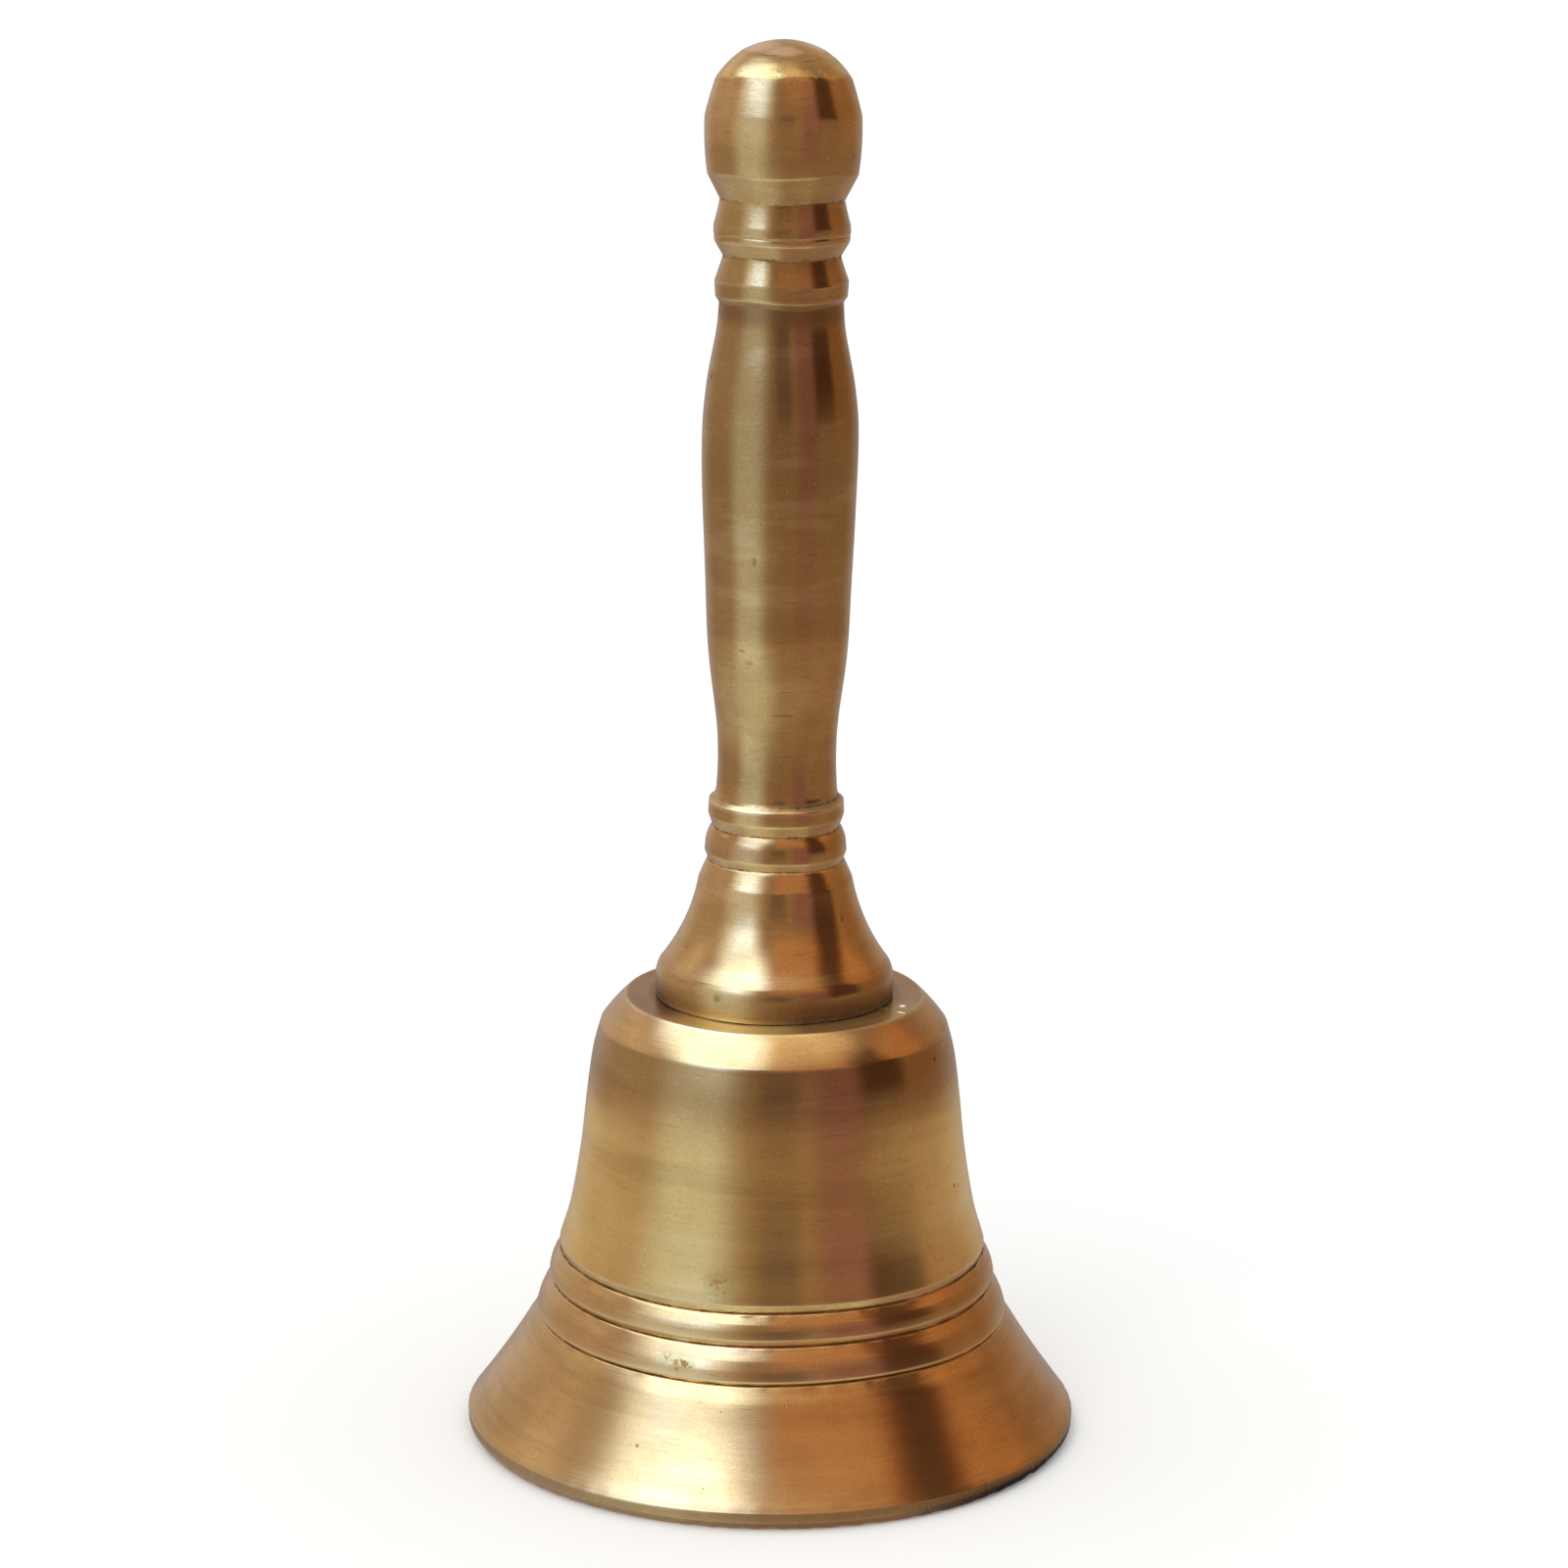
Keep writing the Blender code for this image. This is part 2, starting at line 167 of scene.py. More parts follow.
# Fixings and clapper
NUT_BORE = 2.3
LOCKNUT_BORE = 1.15
NUT_PITCH = 0.5
NUT_THREAD = 0.08
NUT_LEAD_IN = (0.2, 0.25)  # the bore's chamfer, across and down
NUT_LAND = 0.1
NUT_CHAMFER = 0.7  # how steep the corners' chamfer is
WASHER_BORE = 2.3
WASHER_ROUND = (0.12, 0.15)
WASHER_WARP = 0.03
SHANK_RADIUS = 2.0
SHANK_CHAMFER = 0.4
THREAD_PITCH = 0.7
THREAD_DEPTH = 0.2
EYE_RADIUS = 2.7
EYE_WIRE = 0.75
EYE_HEIGHT = BOLT_LOW.z + EYE_WIRE + EYE_RADIUS
LINK_RADIUS = 2.75
LINK_WIRE = 0.6
LINK_END = 0.12
LINK_SEAM = radians(12)
LINK_HEIGHT = JOINTS["link_turn"]
LOOP_RADIUS = 2.1
LOOP_ENDS = (radians(-50), radians(36 - 360))  # from straight down towards +X
LOOP_PLAY = 0.3
ROD_WIRE = 0.85
ROD_END = 0.3
ROD_BEND = ((0, -2.2), (-0.45, -0.87))
ROD_BEND_BULGE = 0.11
ROD_STEP = 0.11
ROD_EASE = 1.5  # how many steps its bends are eased over
ROD_PITCH = 0.35
ROD_THREAD = 0.09  # as a share of the wire's radius
ROD_THREAD_TOP = 5.5
LOOP_HEIGHT = JOINTS["clapper_swing"] + LINK_WIRE + LOOP_PLAY + ROD_WIRE - LOOP_RADIUS
BALL_BORE = 1.15
BALL_RADIUS = BALL_HIGH.x
BALL_DENTS = 0.03
BALL_DENTS_MOST = 0.04
BALL_STRUCK = 0.05

# Studio, in metres
FLOOR_HALF = 12.0
FLOOR_DEPTH = 0.02 * MM
KEY_ENERGY = 0.5
KEY_ANGLE = radians(30)
KEY_TURN = (radians(38), 0, radians(-30))
CAMERA_LENS = 111.8
CAMERA_SENSOR = 36
CAMERA_PLACE = (0, -0.5032, 0.193)
CAMERA_TURN = (("Z", -0.091), ("X", 90 - 13.58), ("Z", 0.617))  # degrees


# ---- outlines


def arc(start, end, bulge, steps=16):
    """Points from start to end along an arc. A positive bulge lies to the right of the way along."""
    a, b = Vector(start), Vector(end)
    half = (b - a).length / 2
    radius = (half * half + bulge * bulge) / (2 * bulge)
    right = Vector((b.y - a.y, a.x - b.x)).normalized()
    centre = (a + b) / 2 + right * (bulge - radius)
    sweep = 4 * atan(bulge / half)
    turns = (Matrix.Rotation(sweep * step / steps, 2) for step in range(steps + 1))
    return [tuple(centre + turn @ (a - centre)) for turn in turns]


def smooth_curve(knots, steps=10):
    """A Catmull-Rom curve through the knots, with this many steps in each span."""
    inner = [Vector(knot) for knot in knots]
    padded = [2 * inner[0] - inner[1], *inner, 2 * inner[-1] - inner[-2]]
    points = []
    for a, b, c, d in zip(padded, padded[1:], padded[2:], padded[3:]):
        for step in range(steps):
            t = step / steps
            bend = 2 * a - 5 * b + 4 * c - d
            points.append(tuple(b + (t * (c - a) + t**2 * bend + t**3 * (3 * b - a - 3 * c + d)) / 2))
    return points + [tuple(knots[-1])]


def distances(path):
    """How far along a path each of its points is."""
    return np.r_[0, np.cumsum(np.linalg.norm(np.diff(path, axis=0), axis=1))]


def blur(values, sigma, closed):
    """A Gaussian blur along the rows of an array, with sigma counted in rows."""
    reach = int(3 * sigma) + 1
    kernel = np.exp(-0.5 * (np.arange(-reach, reach + 1) / sigma) ** 2)
    kernel /= kernel.sum()
    if closed:
        padded = np.concatenate([values[-reach:], values, values[:reach]])
    else:
        first = 2 * values[:1] - values[reach:0:-1]
        last = 2 * values[-1:] - values[-2:-reach - 2:-1]
        padded = np.concatenate([first, values, last])
    return np.stack([np.convolve(column, kernel, "valid") for column in padded.T], 1)


def buffed(outline, closed, edge, longest, turn):
    """Rows along an outline whose corners are worn round by about edge millimetres.

    Gives each row's (radius, height), its distance along the outline and how hollow the outline is there:
    1 in the bottom of a groove, 0 on an even run and -1 on a proud edge.
    """
    corners = np.array(outline + outline[:1] if closed else outline, float)
    lengths = distances(corners)
    stations = np.linspace(0, lengths[-1], int(lengths[-1] / ROW_PITCH) + 1)
    if closed:
        stations = stations[:-1]
    fine = np.stack([np.interp(stations, lengths, corners[:, k]) for k in (0, 1)], 1)
    worn = blur(fine, edge / ROW_PITCH, closed)
    along = np.gradient(worn, axis=0)
    along /= np.linalg.norm(along, axis=1)[:, None] + 1e-9
    outward = np.stack([along[:, 1], -along[:, 0]], 1)
    sunk = ((blur(worn, HOLLOW_REACH / ROW_PITCH, closed) - worn) * outward).sum(1)
    heading = np.unwrap(np.arctan2(along[:, 1], along[:, 0]))
    effort = np.abs(np.diff(heading)) / radians(turn) + ROW_PITCH / longest
    effort = np.r_[0, np.cumsum(effort)]
    kept = np.unique(np.searchsorted(effort, np.arange(0, effort[-1], 1.0)))
    if not closed:
        kept = np.unique(np.r_[kept, len(worn) - 1])
    return worn[kept], stations[kept], np.clip(sunk[kept] / HOLLOW_FULL, -1, 1)


def circle_path(radius, height, start, end, steps):
    """A circle's points in the XZ plane. Angles run from straight down towards +X."""
    turns = (start + (end - start) * step / steps for step in range(steps + 1))
    return [(radius * sin(turn), height - radius * cos(turn)) for turn in turns]


def upright(path):
    """A path in the XZ plane as 3-D points."""
    return np.array([(x, 0.0, z) for x, z in path])


def resample(path, pitch):
    """The same path with points this far apart."""
    lengths = distances(path)
    stations = np.linspace(0, lengths[-1], max(3, int(lengths[-1] / pitch)))
    return np.stack([np.interp(stations, lengths, column) for column in path.T], 1)


# ---- wear by place


def rise(value, start, end):
    """0 up to start and 1 from end on. It falls instead where start is above end."""
    return np.clip((value - start) / (end - start), 0, 1)


def hump(value, middle, reach):
    return np.exp(-(((value - middle) / reach) ** 2))


def by_height(height, table):
    """A value read from a table of (height, value)."""
    return np.interp(height, *zip(*table))


def near(angle, height, place, size):
    """1 at a place (degrees from the front towards +X, height, radius), and 0 beyond its half-sizes."""
    azimuth, level, radius = radians(place[0]), place[1], place[2]
    turn = (angle + pi / 2 - azimuth + pi) % tau - pi
    far = np.sqrt((turn * radius / size[0]) ** 2 + ((height - level) / size[1]) ** 2)
    return rise(far, 1.5, 0.5)


def nearest(angle, height, places):
    return np.maximum.reduce([near(angle, height, place, size) for place, size in places])


def dented(radius, angle, height, places, depth):
    """The radius, pressed in to this depth at each of the places."""
    for place, size in places:
        radius = radius - depth * near(angle, height, place, size)
    return radius


def facing_side(angle, azimuth, slope, floor_value):
    """1 on the side that faces this many degrees from the front towards +X, falling to 0 beside it."""
    return np.clip(np.cos(angle + pi / 2 - radians(azimuth)) * slope - floor_value, 0, 1)


def waves(count, cycles, seed):
    """A smooth random function of an angle and a height in millimetres, of about unit size."""
    draw = np.random.default_rng(seed)
    turns = draw.integers(1, cycles + 1, count)
    phases = draw.uniform(0, tau, count)
    climbs = draw.normal(0, 0.22, count)
    sizes = draw.uniform(0.4, 1.0, count)
    sizes /= np.sqrt((sizes**2).sum() / 2)

    def value(angle, height):
        parts = (
            size * np.sin(turn * angle + phase + climb * height)
            for turn, phase, climb, size in zip(turns, phases, climbs, sizes)
        )
        return sum(parts)

    return value


def thread(distance, pitch, angle):
    """How far through a turn of a screw thread a point is, from 0 to 1."""
    return (distance / pitch - angle / tau) % 1


# ---- meshes


def new_mesh(name, points, faces, marks):
    """A smooth mesh with its points in millimetres. Marks are numbers at each point."""
    mesh = bpy.data.meshes.new(name)
    mesh.from_pydata((np.asarray(points) * MM).tolist(), [], faces)
    mesh.validate()
    mesh.shade_smooth()
    for key, values in marks.items():
        layer = mesh.attributes.new(key, "FLOAT", "POINT")
        layer.data.foreach_set("value", np.asarray(values, np.float32))
    return mesh


def new_object(name, data):
    obj = bpy.data.objects.new(name, data)
    bpy.context.collection.objects.link(obj)
    return obj


def new_piece(name, made, body, node, material, sharp=None):
    """A piece that stands for one CAD node. Made is its points, faces and marks."""
    mesh = new_mesh(name, *made)
    if sharp:
        mesh.set_sharp_from_angle(angle=radians(sharp))
    mesh.materials.append(material)
    obj = new_object(name, mesh)
    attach(obj, body)
    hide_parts(node)
    return obj


def grid_faces(rows, columns, wrap_rows):
    """Quads between rows that each close round. The last row joins the first where wrap_rows is set."""
    upto = rows if wrap_rows else rows - 1
    i, j = np.meshgrid(np.arange(upto), np.arange(columns), indexing="ij")
    below, above = i * columns, (i + 1) % rows * columns
    after = (j + 1) % columns
    return np.stack([below + j, below + after, above + after, above + j], -1).reshape(-1, 4)


def lathe(outline, closed, shape, edge, longest, segments, turn):
    """Turns an outline about Z and shapes its points. Gives points, faces and the marks along and hollow.

    An open outline starts and ends on the axis, where its end rows become single points.
    """
    rows, along, hollow = buffed(outline, closed, edge, longest, turn)
    angle = np.arange(segments) * tau / segments
    radius, spin = np.meshgrid(rows[:, 0], angle, indexing="ij")
    radius, height = shape(radius, np.repeat(rows[:, 1:], segments, 1), spin)
    points = np.stack([radius * np.cos(spin), radius * np.sin(spin), height], -1).reshape(-1, 3)
    faces = grid_faces(len(rows), segments, closed)
    marks = {"along": np.repeat(along, segments), "hollow": np.repeat(hollow, segments)}
    if closed:
        return points, faces.tolist(), marks
    ends = np.array([points[:segments].mean(0), points[-segments:].mean(0)])
    ends[:, :2] = 0
    points = np.concatenate([ends[:1], points[segments:-segments], ends[1:]])
    marks = {k: np.r_[v[0], v[segments:-segments], v[-1]] for k, v in marks.items()}
    renamed = np.clip(faces - segments + 1, 0, len(points) - 1)
    return points, [list(dict.fromkeys(face)) for face in renamed.tolist()], marks


def tube(path, radius, closed, around, ripple=None):
    """A wire of this radius along a path of points. Gives points, faces and the marks along and hollow."""
    count = len(path)
    along = np.roll(path, -1, 0) - np.roll(path, 1, 0) if closed else np.gradient(path, axis=0)
    along /= np.linalg.norm(along, axis=1)[:, None]
    side = np.cross(along, np.array([0.0, 1.0, 0.0]))
    side /= np.linalg.norm(side, axis=1)[:, None]
    up = np.cross(side, along)
    spin = np.arange(around) * tau / around
    distance = distances(path)
    size = np.repeat(np.broadcast_to(radius, count)[:, None], around, 1).astype(float)
    if ripple:
        size = size * ripple(distance[:, None], spin[None, :])
    ring = side[:, None] * np.cos(spin)[:, None] + up[:, None] * np.sin(spin)[:, None]
    points = (path[:, None] + ring * size[..., None]).reshape(-1, 3)
    faces = grid_faces(count, around, closed).tolist()
    marks = {"along": np.repeat(distance, around), "hollow": np.zeros(count * around)}
    if closed:
        return points, faces, marks
    points = np.concatenate([points, path[:1], path[-1:]])
    marks = {k: np.r_[v, v[0], v[-1]] for k, v in marks.items()}
    head, tail = count * around, count * around + 1
    last = (count - 1) * around
    for j in range(around):
        after = (j + 1) % around
        faces.append([head, after, j])
        faces.append([tail, last + j, last + after])
    return points, faces, marks


def rounded_ends(path, radius, reach):
    """The wire's radius along a path, rounded off over this reach at both ends."""
    distance = distances(path)
    to_end = np.minimum(distance, distance[-1] - distance) / reach
    return radius * np.sqrt(1 - np.clip(1 - to_end, 0, 0.8) ** 2)


# ---- node helpers


def set_inputs(tree, node, inputs):
    """Inputs maps a socket's name or place to a value or to another socket."""
    for key, value in inputs.items():
        if isinstance(value, bpy.types.NodeSocket):
            tree.links.new(value, node.inputs[key])
        else:
            node.inputs[key].default_value = value


def put(tree, kind, inputs=None, **settings):
    """Adds a shader node."""
    node = tree.nodes.new("ShaderNode" + kind)
    for name, value in settings.items():
        setattr(node, name, value)
    set_inputs(tree, node, inputs or {})
    return node


def maths(tree, operation, *values):
    return put(tree, "Math", dict(enumerate(values)), operation=operation).outputs[0]


def vector_maths(tree, operation, *values):
    return put(tree, "VectorMath", dict(enumerate(values)), operation=operation).outputs[0]


def scaled(tree, vector, by):
    return put(tree, "VectorMath", {0: vector, 3: by}, operation="SCALE").outputs[0]


def product(tree, *values):
    return maths(tree, "MULTIPLY", *values)


def weighted(tree, total, *terms):
    """The total, with each term's (value, weight) added."""
    for value, weight in terms:
        total = maths(tree, "MULTIPLY_ADD", value, weight, total)
    return total


def centred(tree, value):
    """A noise, moved to lie about 0."""
    return maths(tree, "SUBTRACT", value, 0.5)


def ramp(tree, value, low, high, most=1.0):
    """0 below low and most above high, eased between. It falls instead where low is above high."""
    if low <= high:
        inputs = {"Value": value, "From Min": low, "From Max": high, "To Max": most}
    else:
        inputs = {"Value": value, "From Min": high, "From Max": low, "To Min": most, "To Max": 0.0}
    return put(tree, "MapRange", inputs, interpolation_type="SMOOTHSTEP").outputs[0]


def mix(tree, factor, a, b):
    a, b = ((*c, 1.0) if isinstance(c, tuple) else c for c in (a, b))
    return put(tree, "Mix", {0: factor, 6: a, 7: b}, data_type="RGBA").outputs[2]


def noise(tree, vector, scale, detail, roughness):
    inputs = {"Vector": vector, "Scale": scale, "Detail": detail, "Roughness": roughness}
    return put(tree, "TexNoise", inputs).outputs["Fac"]


def mark(tree, name):
    return put(tree, "Attribute", attribute_name=name).outputs["Fac"]


def bumped(tree, height, depth):
    """The normal where a height of 1 stands for this many millimetres."""
    return put(tree, "Bump", {"Distance": depth * MM, "Height": height}).outputs[0]


def new_material(name):
    material = bpy.data.materials.new(name)
    material.use_nodes = True
    tree = material.node_tree
    return material, tree, tree.nodes["Principled BSDF"]


def place_in_mm(tree):
    return scaled(tree, put(tree, "TexCoord").outputs["Object"], 1 / MM)


def lathe_space(tree):
    """A point's place in millimetres, its direction round the axis, and its way along the outline on Z."""
    place = place_in_mm(tree)
    around = vector_maths(tree, "NORMALIZE", vector_maths(tree, "MULTIPLY", place, (1, 1, 0)))
    along = put(tree, "CombineXYZ", {"Z": mark(tree, "along")}).outputs[0]
    return place, around, along


def lines(tree, around, along, turns, per_mm, detail, roughness):
    """Noise drawn out round the lathe: turns says how fast it changes round, and per_mm along."""
    place = vector_maths(tree, "ADD", scaled(tree, around, turns), scaled(tree, along, per_mm))
    return noise(tree, place, 1.0, detail, roughness)


# ---- turned brass


# Noises drawn out round the lathe: how fast they change round it and along it, detail and roughness
ROUND_NOISES = {
    "fine": (3.0, 2.6, 3.0, 0.65), "broad": (0.7, 0.42, 3.0, 0.6),
    "long": (7.0, 0.3, 2.0, 0.5), "short": (6.0, 4.0, 1.0, 0.5),
}
# Others: how fast they change, detail and roughness
EVEN_NOISES = {
    "grain": (4.5, 2.0, 0.6), "speckle": (3.4, 3.0, 0.75), "pits": (1.7, 3.0, 0.6), "holes": (1.5, 2.0, 0.5),
}
PATCH_NOISE = (3.0, 0.55)
CLOUD_NOISE = (0.11, 2.0, 0.5)
CLOUD_STRETCH = (1, 1, 2.2)
# Marks that a piece may have at its points
# One of these marks is painted shade, and the soot and bloom marks are partly painted shade and highlight.
MARKS = ("hollow", "dull", "bloom_and_highlight", "scar", "soot_and_shade", "blush", "chip", "painted_shade")

# Layers of colour over the bright brass, the lowest first: the noise, where the colour starts and is full,
# its share there (a number, or its name in the look) and the colour.
METAL_LAYERS = (
    ("patches", 0.35, 0.68, 1.0, "tarnish"), ("clouds", 0.5, 0.78, 0.55, "pink"),
    ("fine", 0.56, 0.75, "streaks", "streak"), ("fine", 0.42, 0.28, "pale_streaks", "edge"),
)
SPECK_LAYERS = (
    ("speckle", 0.52, 0.70, 0.34, "dull"), ("speckle", 0.46, 0.30, 0.30, "edge"),
    ("broad", 0.50, 0.68, 0.24, "dull"), ("broad", 0.47, 0.32, 0.20, "edge"),
)
# Covers over them: the cover, the most that it hides and its colour
# The bloom cover also lays on the painted highlights of the crown and the dome.
BAND_COVERS = (("dull", 0.9, "dull"), ("bloom_and_highlight", 0.45, "bloom_and_highlight"))
WEAR_COVERS = (
    ("cuts", 1.0, "nick"), ("pin", 0.7, "dirt"), ("glint", 0.8, "glint"), ("worn", 0.7, "edge"),
    ("brown", 1.0, "grime"), ("stained", 0.6, "stain"), ("pitted", 0.85, "pit"), ("blushed", 0.55, "blush"),
    # The dirt cover and the last cover here also lay on the painted shade.
    ("chipped", 1.0, "chip"), ("dirt", 0.94, "dirt"), ("ragged_painted_shade", 0.9, "shade_black"),
)
# What these add to the roughness, to how metallic the brass is and to its height
ROUGH_WEIGHTS = (("fine", 0.08), ("speckle", 0.10), ("brown", 0.2), ("dirt", 0.4))
ROUGH_MIDDLE = 0.09  # what the noises among them add on average
METAL_WEIGHTS = (("golden", -0.3), ("blushed", -0.3), ("covered", -0.9))
HEIGHT_WEIGHTS = (("broad", 1.2), ("speckle", 0.35), ("pin", -3.0), ("pitted", -0.6), ("cuts", -2.0))

CUP_LOOK = {
    "bright": (0.86, 0.565, 0.225), "tarnish": (0.74, 0.475, 0.18), "pink": (0.72, 0.42, 0.22),
    "streak": (0.60, 0.37, 0.14), "edge": (0.97, 0.76, 0.40), "glint": (1.0, 0.86, 0.6),
    # The bloom colour is for golden bands and also for the painted highlights on the crown and the dome.
    "dull": (0.46, 0.285, 0.105), "bloom_and_highlight": (0.90, 0.65, 0.20), "blush": (0.82, 0.57, 0.44),
    "nick": (0.13, 0.07, 0.03), "pit": (0.27, 0.13, 0.04), "chip": (1.0, 0.93, 0.84),
    "stain": (0.62, 0.44, 0.13), "grime": (0.30, 0.16, 0.06), "dirt": (0.04, 0.019, 0.008),
    # The near-black colour of the painted shade.
    "shade_black": (0.008, 0.005, 0.004),
    "streaks": 0.42, "pale_streaks": 0.294, "short_marks": 0.15, "patch_scale": 0.16,
    "nicks": (  # a place as for the cup's scars, and a depth
        ((63, 43.8, 19.1), (0.22, 0.3), 0.9), ((67, 29.6, 21.1), (0.2, 0.3), 0.9),
        ((-28, 6.6, 29.5), (0.25, 0.25), 0.6), ((140, 35.0, 20.4), (1.6, 0.1), 0.6),
        ((-110, 7.0, 29.4), (0.3, 0.5), 0.8),
    ),
    "rough": 0.19, "rough_spread": 0.10, "brown_from": 0.18, "dirt_from": 0.60, "dirt_to": 0.95,
    "bump": 0.007, "anisotropic": 0.55,
}
HANDLE_LOOK = {
    **CUP_LOOK,
    "streaks": 0.5, "pale_streaks": 0.35, "short_marks": 0.2, "patch_scale": 0.24, "rough": 0.18,
    "nicks": (
        ((-18.5, 96.8, 7.82), (0.25, 0.5), 1.0), ((51.5, 58.2, 9.1), (0.25, 0.4), 0.9),
        ((-28.5, 50.8, 12.7), (0.4, 0.35), 0.9), ((6, 80.4, 6.75), (1.4, 0.1), 0.5),
        ((-30, 87.2, 7.4), (0.4, 0.12), 0.5), ((9, 75.9, 6.3), (0.8, 0.1), 0.35),
        ((10, 92.6, 7.7), (0.9, 0.08), 0.3), ((-70, 115.5, 7.6), (0.25, 0.3), 0.9),
        ((-16, 148.75, 4.6), (1.3, 0.07), 0.6), ((28, 148.2, 5.1), (1.0, 0.07), 0.5),
        ((170, 90.0, 7.6), (1.6, 0.1), 0.5), ((110, 103.0, 8.1), (0.3, 0.5), 0.8),
        ((8, 83.0, 7.1), (1.0, 0.07), 0.35), ((24, 84.6, 7.3), (0.8, 0.07), 0.4),
        ((-24, 86.0, 7.35), (0.5, 0.3), 0.25), ((2, 88.4, 7.5), (1.2, 0.06), 0.3),
    ),
    "dirt": (0.10, 0.05, 0.02), "brown_from": 0.33, "dirt_from": 0.75, "dirt_to": 1.25,
}


def brass_skin(tree, look):
    """What turned brass is coloured by: its place, marks and noises, by name."""
    place, around, along = lathe_space(tree)
    skin = {"place": place, **{name: mark(tree, name) for name in MARKS}}
    for name, settings in ROUND_NOISES.items():
        skin[name] = lines(tree, around, along, *settings)
    for name, settings in EVEN_NOISES.items():
        skin[name] = noise(tree, place, *settings)
    skin["patches"] = noise(tree, place, look["patch_scale"], *PATCH_NOISE)
    skin["clouds"] = noise(tree, vector_maths(tree, "MULTIPLY", place, CLOUD_STRETCH), *CLOUD_NOISE)
    return skin


def spot(tree, skin, where, size, depth):
    """This depth within a ragged mark. Places are as for the cup's scars."""
    azimuth = radians(where[0])
    centre = (where[2] * sin(azimuth), -where[2] * cos(azimuth), where[1])
    off = vector_maths(tree, "SUBTRACT", skin["place"], centre)
    off = vector_maths(tree, "MULTIPLY", off, (1 / size[0], 1 / size[0], 1 / size[1]))
    far = put(tree, "VectorMath", {0: off}, operation="LENGTH").outputs["Value"]
    far = weighted(tree, far, (centred(tree, skin["grain"]), 1.2))
    return ramp(tree, far, 1.15, 0.65, depth)


def add_small_marks(tree, look, skin):
    """Short cuts round the lathe, nicks, and a few pinholes and glints."""
    cuts = ramp(tree, skin["short"], 0.67, 0.74, look["short_marks"])
    for where, size, depth in look["nicks"]:
        cuts = maths(tree, "MAXIMUM", cuts, spot(tree, skin, where, size, depth))
    cells = put(tree, "TexVoronoi", {"Vector": skin["place"], "Scale": 0.6})
    far = cells.outputs["Distance"]
    chosen = put(tree, "SeparateColor", {0: cells.outputs["Color"]}).outputs
    skin["cuts"] = cuts
    skin["pin"] = product(tree, ramp(tree, far, 0.075, 0.03), ramp(tree, chosen[0], 0.84, 0.86))
    skin["glint"] = product(tree, ramp(tree, far, 0.07, 0.03), ramp(tree, chosen[1], 0.80, 0.82))


def add_scars(tree, skin):
    """Scars with a stain and pits in them, the dome's blush, bare chips, and golden bands and painted
    highlights that leave the brass less metallic.
    """
    pits, blush = skin["pits"], skin["blush"]
    torn = product(tree, centred(tree, pits), ramp(tree, skin["scar"], 0.0, 0.4, 2.4))
    scar = maths(tree, "ADD", skin["scar"], torn)
    skin["stained"] = ramp(tree, scar, 0.0, 0.6)
    skin["pitted"] = product(tree, ramp(tree, scar, 0.6, 1.1), ramp(tree, skin["holes"], 0.46, 0.58))
    skin["blushed"] = product(tree, blush, ramp(tree, maths(tree, "ADD", pits, blush), 0.7, 1.1))
    skin["chipped"] = ramp(tree, skin["chip"], 0.35, 0.6)
    facing = put(tree, "LayerWeight", {"Blend": 0.5}).outputs["Facing"]
    # Less metallic towards the edges where the bloom mark lies. On the crown and the dome this is part of a
    # painted highlight.
    skin["golden"] = product(tree, skin["bloom_and_highlight"], ramp(tree, facing, 0.0, 0.85))


def add_wear(tree, look, skin):
    """Bright edges, and brown film and dirt that start unevenly in the hollows, with soot and painted shade
    from the marks laid over them.
    """
    hollow, pits = skin["hollow"], skin["pits"]
    uneven = weighted(
        tree, product(tree, centred(tree, skin["long"]), 1.7),
        (centred(tree, pits), 0.7), (centred(tree, skin["grain"]), 0.25))
    ragged = weighted(tree, hollow, (ramp(tree, hollow, 0.04, 0.25), uneven))
    # Soot and painted shade from the marks, made patchy by the pits.
    soot_and_shade = product(tree, skin["soot_and_shade"], ramp(tree, pits, -0.5, 0.6))
    brown = ramp(tree, ragged, look["brown_from"], look["dirt_to"], 0.8)
    dirt = ramp(tree, ragged, look["dirt_from"], look["dirt_to"])
    skin["worn"] = ramp(tree, hollow, -0.18, -0.7)
    skin["brown"] = maths(tree, "MAXIMUM", brown, soot_and_shade)
    # Painted shade, made ragged by the pits. The dirt cover takes it in too, so it also darkens, roughens
    # and dulls the brass.
    skin["ragged_painted_shade"] = product(tree, skin["painted_shade"], ramp(tree, pits, 0.1, 0.5))
    skin["dirt"] = maths(tree, "MAXIMUM", dirt, skin["ragged_painted_shade"])
    bare = maths(tree, "MAXIMUM", skin["dirt"], skin["chipped"])
    skin["covered"] = maths(tree, "MAXIMUM", bare, product(tree, skin["pitted"], 0.8))


def noise_layers(tree, colour, look, skin, layers):
    for name, start, full, share, over in layers:
        factor = ramp(tree, skin[name], start, full, look.get(share, share))
        colour = mix(tree, factor, colour, look[over])
    return colour


def cover_layers(tree, colour, look, skin, covers):
    for name, share, over in covers:
        colour = mix(tree, product(tree, skin[name], share), colour, look[over])
    return colour


